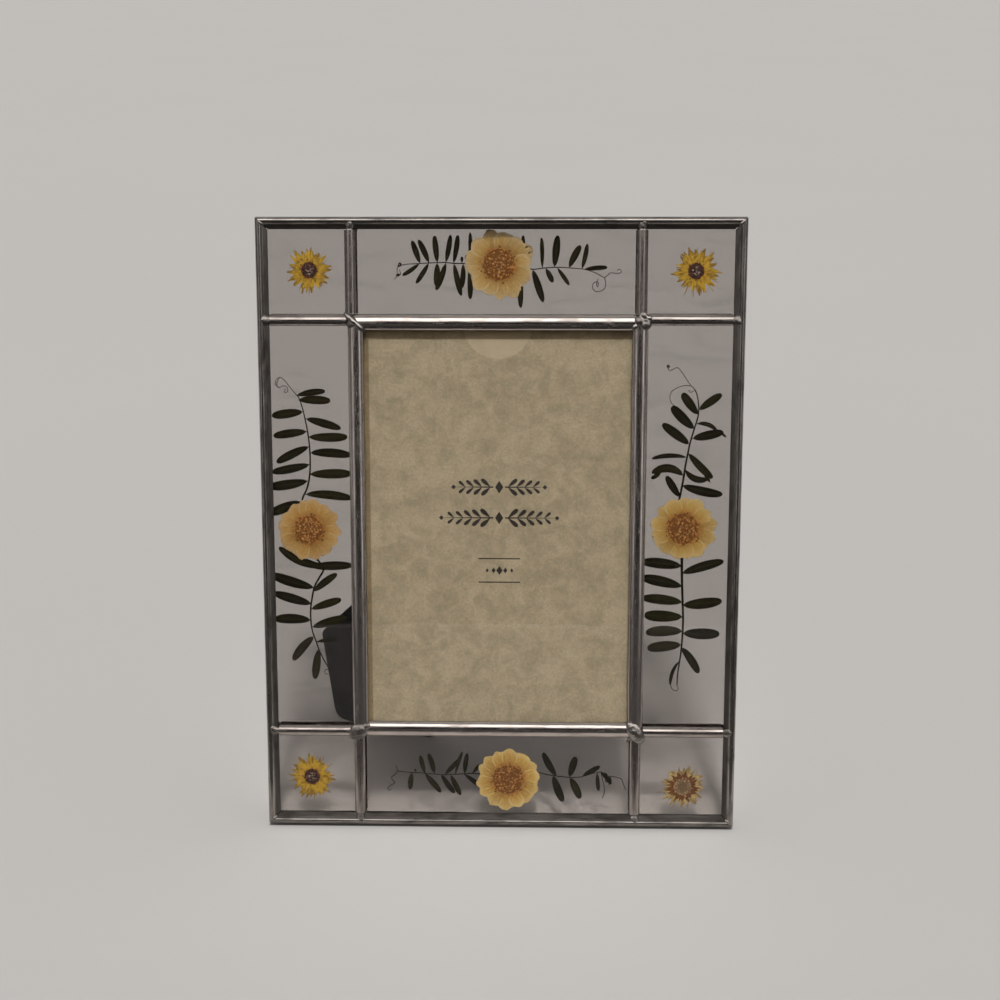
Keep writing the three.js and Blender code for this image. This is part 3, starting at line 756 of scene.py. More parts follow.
def grown(name, tree, values, mesh=None):
    """A piece with the plain mesh that a Geometry Nodes tree makes with these values."""
    piece = link(name, mesh or bpy.data.meshes.new(name))
    modifier = piece.modifiers.new("Maker", "NODES")
    modifier.node_group = tree
    for item in tree.interface.items_tree:
        if item.in_out == "INPUT" and item.name in values:
            modifier[item.identifier] = values[item.name]
    depsgraph = bpy.context.evaluated_depsgraph_get()
    made = bpy.data.meshes.new_from_object(
        piece.evaluated_get(depsgraph), preserve_all_data_layers=True, depsgraph=depsgraph)
    piece.modifiers.remove(modifier)
    piece.data = made
    if not made.vertices:
        raise RuntimeError(f"{name} came out empty")
    return piece


def came_maker():
    """Sweeps a profile along a strip, mitres its ends and dents its crown a little."""
    tree, given, result = new_maker("Came strip", [
        ("Profile", "Object"), ("Length", "Float"), ("Mitre", "Float"), ("Step", "Float"),
        ("Ripple", "Float"), ("Seed", "Float"), ("Finish", "Material"),
    ])
    line = put(tree, "GeometryNodeCurvePrimitiveLine", {"End": point_of(tree, z=given["Length"])})
    run = put(tree, "GeometryNodeResampleCurve", {"Curve": line, "Length": given["Step"]}, mode="LENGTH")
    run, reach = captured(tree, run, "FLOAT", distance_along(tree))
    profile = shape_of(tree, given["Profile"])
    profile, section = captured(tree, profile, "VECTOR", output(tree, "GeometryNodeInputPosition"))
    profile, around = captured(tree, profile, "FLOAT", distance_along(tree))
    skin = put(tree, "GeometryNodeCurveToMesh", {
        "Curve": run, "Profile Curve": profile, "Fill Caps": True,
    })
    across, depth, _ = parts_of(section)
    cut = across * given["Mitre"]
    along = reach * (1.0 - cut * 2.0 / given["Length"]) + cut
    place = point_of(tree, across, depth, along)
    skin = put(tree, "GeometryNodeSetPosition", {"Geometry": skin, "Position": place})
    spot = point_of(tree, along * 75.0, around * 160.0, given["Seed"] * 10.0)
    dent = (grain(spot, 1.0, 3.0) - 0.5) * given["Ripple"] * spread(depth, 1.1 * MM, 1.45 * MM, 2.0, 0.0)
    offset = scaled(output(tree, "GeometryNodeInputNormal"), dent)
    skin = put(tree, "GeometryNodeSetPosition", {"Geometry": skin, "Offset": offset})
    skin = stored(tree, skin, "strip", "FLOAT2", "CORNER", point_of(tree, along + given["Seed"], around))
    finish_maker(tree, skin, given["Finish"], result)
    return tree


def thread_maker():
    """Turns threads, curves with a radius, into stems and tendrils beside the leaves."""
    tree, given, result = new_maker("Stems and tendrils", [
        ("Leaves", "Geometry"), ("Threads", "Object"), ("Sides", "Int"), ("Finish", "Material"),
    ])
    threads, reach = captured(tree, shape_of(tree, given["Threads"]), "FLOAT", distance_along(tree))
    ring = put(tree, "GeometryNodeCurvePrimitiveCircle", {"Resolution": given["Sides"], "Radius": 1.0})
    tubes = put(tree, "GeometryNodeCurveToMesh", {
        "Curve": threads, "Profile Curve": ring, "Scale": output(tree, "GeometryNodeInputRadius"),
        "Fill Caps": True,
    })
    tubes = stored(tree, tubes, "blade", "FLOAT2", "CORNER", point_of(tree, reach * 60.0, 0.5))
    tubes = stored(tree, tubes, "tone", "FLOAT", "POINT", 0.35)
    both = put(tree, "GeometryNodeJoinGeometry", {0: given["Leaves"]})
    feed(both.inputs[0], tubes)
    finish_maker(tree, both, given["Finish"], result)
    return tree


GOLDEN_ANGLE = math.pi * (3 - math.sqrt(5))


def floret_maker():
    """Packs florets in sunflower order on a thin plate, straggling a little at the rim."""
    tree, given, result = new_maker("Floret disc", [
        ("Count", "Int"), ("Radius", "Float"), ("Floret", "Float"), ("Rise", "Float"),
        ("Fringe", "Float"), ("Seed", "Int"), ("Finish", "Material"),
    ])
    seed = given["Seed"]
    points = put(tree, "GeometryNodePoints", {"Count": given["Count"]})
    index = output(tree, "GeometryNodeInputIndex")
    part = maths("SQRT", (index + 0.5) / given["Count"])
    fringe = spread(part, 0.86, 1.0, 0.0, given["Fringe"])
    reach = (fringe * random_number(tree, -0.35, 1.0, seed + 2.0) + part) * given["Radius"]
    angle = index * GOLDEN_ANGLE
    spot = point_of(tree, x=maths("COSINE", angle) * reach, z=maths("SINE", angle) * reach)
    stray = output(tree, "FunctionNodeRandomValue", {
        0: (-0.6, -0.12, -0.6), 1: (0.6, 0.12, 0.6), "Seed": seed,
    }, data_type="FLOAT_VECTOR")
    spot = vector_maths("ADD", spot, scaled(stray, given["Floret"]))
    points = put(tree, "GeometryNodeSetPosition", {"Geometry": points, "Position": spot})
    bud = put(tree, "GeometryNodeMeshIcoSphere", {"Radius": 1.0, "Subdivisions": 2})
    wide = random_number(tree, 0.55, 1.15, seed) * given["Floret"] * 0.5
    buds = put(tree, "GeometryNodeInstanceOnPoints", {
        "Points": points, "Instance": bud, "Rotation": point_of(tree, y=angle * 2.0),
        "Scale": point_of(tree, wide, given["Rise"], wide * 1.2),
    })
    shade = random_number(tree, 0.0, 1.0, seed + 1.0)
    buds = put(tree, "GeometryNodeRealizeInstances", {
        0: stored(tree, buds, "tone", "FLOAT", "INSTANCE", shade),
    })
    plate = put(tree, "GeometryNodeMeshCylinder", {
        "Vertices": 40, "Radius": given["Radius"] * 0.93, "Depth": 0.1 * MM,
    }, fill_type="TRIANGLE_FAN").outputs["Mesh"]
    plate = put(tree, "GeometryNodeTransform", {"Geometry": plate, "Rotation": (math.pi / 2, 0, 0)})
    both = put(tree, "GeometryNodeJoinGeometry", {0: buds})
    feed(both.inputs[0], plate)
    flat = scaled(output(tree, "GeometryNodeInputPosition"), (1, 0, 1))
    both = stored(tree, both, "reach", "FLOAT", "POINT", vector_maths("LENGTH", flat) / given["Radius"])
    finish_maker(tree, both, given["Finish"], result)
    return tree


def rivet_maker():
    """A row of domed rivet heads along X."""
    tree, given, result = new_maker("Rivet row", [
        ("Count", "Int"), ("Start", "Vector"), ("Pitch", "Vector"), ("Radius", "Float"),
        ("Rise", "Float"), ("Finish", "Material"),
    ])
    row = put(tree, "GeometryNodeMeshLine", {
        "Count": given["Count"], "Start Location": given["Start"], "Offset": given["Pitch"],
    })
    head = put(tree, "GeometryNodeMeshUVSphere", {"Segments": 20, "Rings": 10, "Radius": 1.0})
    scale = point_of(tree, given["Radius"], given["Rise"], given["Radius"])
    heads = put(tree, "GeometryNodeInstanceOnPoints", {
        "Points": row, "Instance": head.outputs["Mesh"], "Scale": scale,
    })
    finish_maker(tree, heads, given["Finish"], result)
    return tree


# --- Came strips ---------------------------------------------------------------------

def crown(width, height, steps):
    """Half ellipse over the front of a came, as (across, depth) points."""
    angles = [math.pi * i / steps for i in range(steps + 1)]
    half = width / 2
    return [(half - half * math.cos(angle), height * (1 - math.sin(angle))) for angle in angles]


def border_profile(width):
    """U section with a rounded bead and a flat lip sloping to the glass."""
    bead, shoulder, web, back = 2.6, 0.7, 1.0, 3.2
    arc = [(x, depth) for x, depth in crown(bead, 1.0, 18) if x < bead / 2 or depth < shoulder]
    return [
        (0, 3), *arc, (bead, shoulder), (3.4, 0.95), (width - 0.3, 1.2), (width, 1.4),
        (width, FLANGE_UNDER), (web, FLANGE_UNDER), (web, FLANGE_BACK), (back, FLANGE_BACK),
        (back, CAME_DEPTH - 0.2), (back - 0.2, CAME_DEPTH), (0.25, CAME_DEPTH),
        (0, CAME_DEPTH - 0.25), (0, 5),
    ]


def ring_profile(width):
    """Wide half-round crown with a back flange on the outer side only."""
    web = (width / 2 - 0.4, width / 2 + 0.4)
    return [
        *crown(width, 1.4, 24), (width, FLANGE_UNDER), (web[1], FLANGE_UNDER),
        (web[1], CAME_DEPTH), (0.2, CAME_DEPTH), (0, CAME_DEPTH - 0.2), (0, FLANGE_BACK),
        (web[0], FLANGE_BACK), (web[0], FLANGE_UNDER), (0, FLANGE_UNDER),
    ]


def bar_profile(width):
    """H section of the narrow cames between two panes."""
    web = (width / 2 - 0.4, width / 2 + 0.4)
    return [
        *crown(width, 1.4, 20), (width, FLANGE_UNDER), (web[1], FLANGE_UNDER),
        (web[1], FLANGE_BACK), (width, FLANGE_BACK), (width, CAME_DEPTH - 0.2),
        (width - 0.2, CAME_DEPTH), (0.2, CAME_DEPTH), (0, CAME_DEPTH - 0.2),
        (0, FLANGE_BACK), (web[0], FLANGE_BACK), (web[0], FLANGE_UNDER), (0, FLANGE_UNDER),
    ]


HEADINGS = {"left": 0, "top": 90, "right": 180, "bottom": 270}


def came_strips():
    """Every strip as its node, its profile, its heading in degrees and whether it is mitred."""
    rings = [("border_came_" + side, border_profile, turn, 1.0) for side, turn in HEADINGS.items()]
    rings += [("pocket_came_" + side, ring_profile, turn, 1.0) for side, turn in HEADINGS.items()]
    ends = [("top", "left"), ("top", "right"), ("bottom", "left"), ("bottom", "right")]
    uprights = [(f"upright_came_{row}_{side}", bar_profile, 0, 0.0) for row, side in ends]
    rows = {"top": "upper", "bottom": "lower"}
    crossbars = [(f"cross_came_{rows[row]}_{side}", bar_profile, 90, 0.0) for row, side in ends]
    return rings + uprights + crossbars


def profile_curve(points):
    """A closed curve through (across, depth) points."""
    curve = bpy.data.curves.new("profile", "CURVE")
    spline = curve.splines.new("POLY")
    spline.points.add(len(points) - 1)
    for spot, (across, depth) in zip(spline.points, points):
        spot.co = (across * MM, depth * MM, 0, 1)
    spline.use_cyclic_u = True
    return link("profile", curve)


def make_came(node, profile, heading, mitre, seed, settings, tree, material):
    """Sweeps one strip where its solid stands."""
    low, high = face_box(node)
    turn = math.radians(heading)
    across = Vector((math.cos(turn), 0, -math.sin(turn)))
    along = Vector((math.sin(turn), 0, math.cos(turn)))
    size = high - low
    corner = Vector([low[i] if across[i] + along[i] > 0 else high[i] for i in range(3)])
    corner.y = 0
    guide = profile_curve(profile(abs(size.dot(across))))
    piece = grown(node + "_strip", tree, {
        "Profile": guide, "Length": abs(size.dot(along)) * MM, "Mitre": mitre,
        "Step": settings.step, "Ripple": settings.ripple, "Seed": seed * 0.31, "Finish": material,
    })
    bpy.data.objects.remove(guide)
    basis = Matrix((across, Vector((0, 1, 0)), along)).transposed().to_4x4()
    piece.data.transform(FACE @ Matrix.Translation(corner * MM) @ basis)
    face_outwards(piece.data)
    settle(piece, "frame", "came", node)


# --- Solder --------------------------------------------------------------------------

SOLDER_VOXEL = 0.22 * MM
# Each joint's blobs: u, v, half length, half width, front, back, turn of the length from
# the u axis in degrees.
SOLDER_JOINTS = {
    "pocket_top_left": [
        (-54.4, 192.7, 3.9, 1.35, -0.75, 1.9, -45), (-52.0, 190.6, 3.4, 1.2, -0.6, 1.9, -45),
        (-53.6, 191.4, 2.8, 2.6, -0.1, 1.9, 0),
    ],
    "pocket_top_right": [
        (50.6, 192.4, 2.2, 2.0, -0.6, 1.9, 0), (52.8, 191.0, 2.3, 2.0, -0.8, 1.9, 20),
        (51.8, 194.4, 1.7, 1.7, -0.4, 1.9, 0), (53.9, 193.4, 1.5, 1.3, -0.3, 1.9, 0),
        (49.0, 190.4, 1.7, 1.3, -0.3, 1.9, 45),
    ],
    "pocket_bottom_left": [
        (-54, 36.9, 3.9, 3.3, -0.8, 1.9, 30), (-51.2, 38.9, 2.2, 1.7, -0.3, 1.9, 20),
        (-56, 35.2, 1.9, 1.3, -0.1, 1.9, 0),
    ],
    "pocket_bottom_right": [
        (51.2, 37.3, 5.0, 2.9, -0.85, 1.9, -57), (49.0, 34.7, 2.0, 0.55, 0.3, 1.7, 50),
        (52.8, 34.9, 2.2, 1.9, -0.3, 1.9, -30), (49.2, 40.2, 1.8, 0.9, 0, 1.7, -60),
    ],
    "corner_top_left": [(-87.1, 227.7, 1.9, 0.9, -0.05, 1.6, -45)],
    "corner_top_right": [(87.1, 227.7, 1.9, 0.9, -0.05, 1.6, 45)],
    "corner_bottom_left": [(-87.1, 1.9, 1.9, 0.9, -0.05, 1.6, 45)],
    "corner_bottom_right": [(87.1, 1.9, 1.9, 0.9, -0.05, 1.6, -45)],
}
# Where the narrow cames meet the border: u, v and the heading from there to the pocket.
BORDER_JOINTS = {
    "border_top_left": (-54.6, 226.8, 270), "border_top_right": (51.2, 226.8, 270),
    "border_left_upper": (-86.4, 192.5, 0), "border_right_upper": (86.4, 192.8, 180),
    "border_left_lower": (-86.4, 37, 0), "border_right_lower": (86.4, 37.4, 180),
    "border_bottom_left": (-53.6, 2.6, 90), "border_bottom_right": (51.2, 2.6, 90),
}
# The blobs behind: how far they stray, their half length and half width, their depths,
# and how far in from the frame's edges they keep.
BACK_STRAY, BACK_LONG, BACK_WIDE = 1.2, 3.0, 2.2
BACK_DEPTHS = (6.7, 7.45)
BACK_REACH, BACK_LOW, BACK_HIGH = 84.6, 4.4, 225.2
# Those behind the border are smaller, so that they don't show through the panes.
BORDER_BACK_SIZE = 0.7


def border_joint(u, v, heading):
    """Blobs of one joint: a low mound on the border, a neck on the came and a drip."""
    rng = random.Random(f"border {u} {v}")
    turn = math.radians(heading)
    along = Vector((math.cos(turn), math.sin(turn)))
    side = Vector((-along.y, along.x))
    middle = Vector((u, v))
    neck = middle + along * rng.uniform(2.5, 3.3)
    drip = middle - along * rng.uniform(0.2, 0.9) + side * rng.uniform(-0.9, 0.9)
    return [
        (*middle, rng.uniform(2.0, 2.4), rng.uniform(1.7, 2.1), 0.0, 1.9, heading),
        (*neck, rng.uniform(1.8, 2.6), rng.uniform(1.5, 1.8), 0.05, 1.8, heading),
        (*drip, rng.uniform(1.0, 1.5), rng.uniform(0.7, 1.0), -0.12, 1.2, rng.uniform(0, 180)),
    ]


def back_joint(u, v, size, rng):
    """Three flat blobs behind a joint."""
    u = max(-BACK_REACH, min(BACK_REACH, u))
    v = max(BACK_LOW, min(BACK_HIGH, v))
    stray, long, wide = BACK_STRAY * size, BACK_LONG * size, BACK_WIDE * size
    return [
        (u + rng.uniform(-stray, stray), v + rng.uniform(-stray, stray), long * rng.uniform(0.5, 1),
         wide * rng.uniform(0.6, 1), *BACK_DEPTHS, rng.uniform(-60, 60)) for _ in range(3)
    ]


def ellipsoid(shape, blob):
    """Adds one blob of solder to a bmesh."""
    u, v, long, wide, front, back, turn = blob
    place = (Matrix.Translation(on_face((u, (front + back) / 2, v))) @ FACE.to_3x3().to_4x4()
             @ Matrix.Rotation(math.radians(-turn), 4, "Y")
             @ Matrix.Diagonal((long * MM, (back - front) / 2 * MM, wide * MM, 1)))
    bmesh.ops.create_icosphere(shape, subdivisions=3, radius=1, matrix=place)


def melted(name, blobs, material, unevenness):
    """Blobs run together into one lump with an uneven skin."""
    shape = bmesh.new()
    for blob in blobs:
        ellipsoid(shape, blob)
    mesh = bpy.data.meshes.new(name)
    shape.to_mesh(mesh)
    shape.free()
    piece = link(name, mesh)
    remesh = piece.modifiers.new("Melt", "REMESH")
    remesh.mode = "VOXEL"
    remesh.voxel_size = SOLDER_VOXEL
    smoothing = piece.modifiers.new("Soften", "SMOOTH")
    smoothing.factor = 0.6
    smoothing.iterations = 5
    depsgraph = bpy.context.evaluated_depsgraph_get()
    made = bpy.data.meshes.new_from_object(piece.evaluated_get(depsgraph))
    piece.modifiers.clear()
    piece.data = made
    for vertex in made.vertices:
        lift = noise.noise(vertex.co * 420) + 0.5 * noise.noise(vertex.co * 1100)
        vertex.co += vertex.normal * lift * unevenness * MM
    made.materials.append(material)
    face_outwards(made, 180.0)
    return piece


# --- Pressed flowers -----------------------------------------------------------------

DAISIES = {
    "top": {"at": (-0.6, 212.6), "radius": 13.0, "disc": 6.0, "petals": 13, "turn": 6, "uneven": 0.1},
    "left": {"at": (-71.8, 114.4), "radius": 12.1, "disc": 5.6, "petals": 14, "turn": 14, "uneven": 0.05},
    "right": {"at": (68, 115.4), "radius": 12.6, "disc": 6.1, "petals": 13, "turn": 2, "uneven": 0.06},
    "bottom": {"at": (3, 17.4), "radius": 12.5, "disc": 6.1, "petals": 14, "turn": 8, "uneven": 0.03},
}
DAISY_COLOURS = {
    "top": ((0.32, 0.16, 0.03), (0.48, 0.32, 0.1), (0.53, 0.42, 0.23)),
    "left": ((0.31, 0.145, 0.025), (0.47, 0.275, 0.068), (0.5, 0.35, 0.17)),
    "right": ((0.32, 0.155, 0.025), (0.46, 0.3, 0.072), (0.52, 0.4, 0.185)),
    "bottom": ((0.35, 0.155, 0.025), (0.53, 0.335, 0.068), (0.67, 0.52, 0.22)),
}
SMALL_FLOWERS = {
    "top_left": {"at": (-69.9, 210.5), "radius": 9.2, "eye": 3.1, "petals": 19},
    "top_right": {"at": (70.9, 210.3), "radius": 9.5, "eye": 3.1, "petals": 21},
    "bottom_left": {"at": (-72.4, 18), "radius": 9.4, "eye": 3.2, "petals": 28},
    "bottom_right": {"at": (69.8, 15.1), "radius": 9.4, "eye": 3.7, "petals": 24},
}
# Each look's colours at a petal's root, middle and tip.
RAGGED_COLOURS = {
    "Yellow petals": ((0.33, 0.145, 0.012), (0.58, 0.375, 0.03), (0.15, 0.08, 0.015)),
    "Tan petals": ((0.22, 0.08, 0.014), (0.54, 0.41, 0.17), (0.22, 0.15, 0.055)),
    "Burnt petals": ((0.13, 0.042, 0.008), (0.17, 0.06, 0.012), (0.07, 0.024, 0.006)),
}
# Dark florets, bright ones from the middle out, and the tones between which they mix.
FLORET_COLOURS = {
    "Rust florets": ((0.17, 0.062, 0.01), [
        (0.0, (0.26, 0.11, 0.025)), (0.25, (0.46, 0.25, 0.085)), (0.65, (0.44, 0.22, 0.06)),
        (1.0, (0.4, 0.17, 0.028)),
    ], 0.2, 0.85),
    "Maroon florets": ((0.03, 0.012, 0.008), [
        (0.0, (0.2, 0.14, 0.12)), (0.42, (0.4, 0.3, 0.26)), (0.6, (0.15, 0.05, 0.032)),
        (1.0, (0.17, 0.065, 0.02)),
    ], 0.12, 0.8),
    "Faded florets": ((0.16, 0.1, 0.05), [
        (0.0, (0.1, 0.09, 0.045)), (0.42, (0.12, 0.105, 0.05)), (0.58, (0.42, 0.3, 0.18)),
        (1.0, (0.4, 0.26, 0.13)),
    ], -0.1, 0.6),
}
# Rounds of narrow petals: times the flower's petals, lengths as parts of its radius, width
# and depth. The burnt collar has its own count.
RAGGED_ROUNDS = (
    (1, (0.74, 1.0), 2.4, 0.08), (1, (0.6, 0.94), 1.9, 0.03),
    (2, (0.56, 1.06), 0.55, -0.01), (1, (0.44, 0.78), 1.0, -0.05),
)
COLLAR = (34, (0.5, 0.74), 1.3, -0.11)
FRONT_STEPS = 14
PETAL_ROWS = 12
RAGGED_ROWS = 7


def across_steps(steps):
    """Places across a blade, over the front from side to side and back behind it."""
    front = [(2 * i / steps - 1, -1) for i in range(steps + 1)]
    return front + [(2 * i / steps - 1, 1) for i in range(steps - 1, 0, -1)]


def daisy_petal(shells, flower, angle, layer, reach, rng):
    """A broad petal with a scalloped end, from under the disc out to a part of the radius."""
    start = flower["disc"] * 0.6
    uneven = rng.uniform(1 - flower["uneven"] * 1.6, 1 + flower["uneven"] * 0.3)
    length = flower["radius"] * reach * uneven - start
    half = math.pi * flower["radius"] / flower["petals"] * rng.uniform(1.0, 1.22)
    notches = [(spot, rng.uniform(0.0, 0.09)) for spot in (-0.45, -0.02, 0.4)]
    skew = rng.uniform(-0.05, 0.05)
    fold = rng.uniform(0, math.tau)
    out = Vector((math.sin(angle), math.cos(angle)))
    side = Vector((out.y, -out.x))
    rings, places = [], []
    for row in range(PETAL_ROWS + 1):
        t = row / PETAL_ROWS
        ring, spots = [], []
        for s, face in across_steps(FRONT_STEPS):
            end = 1 - 0.3 * abs(s) ** 2.3 + skew * s - 0.016 * math.sin(19 * s + 5 * fold)
            for spot, deep in notches:
                end -= deep * math.exp(-((s - spot) / 0.16) ** 2)
            radius = start + length * end * t
            width = half * (0.42 + 0.58 * t ** 0.75) * (1 - 0.1 * t ** 6)
            thick = 0.035 * (1 - s * s) ** 0.5
            wave = 0.018 * math.sin(3 * math.pi * s + fold) * t
            depth = PETAL_MIDDLE + layer * t + 0.03 * s * t + wave + 0.07 * (1 - t) ** 2 + face * thick
            at = Vector(flower["at"]) + out * radius + side * (s * width)
            ring.append((at.x, depth, at.y))
            spots.append((t, s))
        rings.append(ring)
        places.append(spots)
    shells.loft(rings, places, rng.random())


def ragged_petal(shells, centre, angle, start, end, width, layer, rng):
    """A narrow pointed petal with a torn side, sometimes bent at its tip."""
    out = Vector((math.sin(angle), math.cos(angle)))
    side = Vector((out.y, -out.x))
    bend = rng.uniform(-0.16, 0.16) * (end - start)
    fold = rng.uniform(-0.03, 0.03)
    rings, places = [], []
    for row in range(RAGGED_ROWS + 1):
        t = row / RAGGED_ROWS
        half = width / 2 * (0.55 + 0.6 * math.sin(math.pi * min(1, t * 1.15 + 0.1))) * (1 - t ** 5 * 0.75)
        tear = [rng.uniform(0.7, 1.15), rng.uniform(0.7, 1.15)]
        ring, spots = [], []
        for s, face in across_steps(4):
            offset = s * half * (tear[0] if s < 0 else tear[1]) + bend * t * t
            at = Vector(centre) + out * (start + (end - start) * t) + side * offset
            depth = PETAL_MIDDLE + layer + fold * s * t - 0.04 * t + face * 0.025 * (1 - s * s) ** 0.5
            ring.append((at.x, depth, at.y))
            spots.append((t, s))
        rings.append(ring)
        places.append(spots)
    shells.loft(rings, places, rng.random())


def ragged_round(shells, flower, start, count, reach, width, layer, rng):
    """A round of narrow petals, each with its own length and lean."""
    for i in range(count):
        angle = math.tau * (i + rng.uniform(-0.3, 0.3)) / count
        end = flower["radius"] * rng.uniform(*reach)
        ragged_petal(shells, flower["at"], angle, start, end, width * rng.uniform(0.75, 1.2), layer, rng)


def joined(name, pieces):
    """One piece made of several."""
    with bpy.context.temp_override(active_object=pieces[0], object=pieces[0],
                                   selected_objects=pieces, selected_editable_objects=pieces):
        bpy.ops.object.join()
    pieces[0].name = name
    return pieces[0]


def floret_disc(tree, centre, middle, values, material):
    """A disc of florets about a place on the face."""
    piece = grown("disc", tree, {**values, "Finish": material})
    piece.data.transform(FACE @ Matrix.Translation(Vector((centre[0], middle, centre[1])) * MM))
    face_outwards(piece.data)
    return piece


# --- Sprigs --------------------------------------------------------------------------

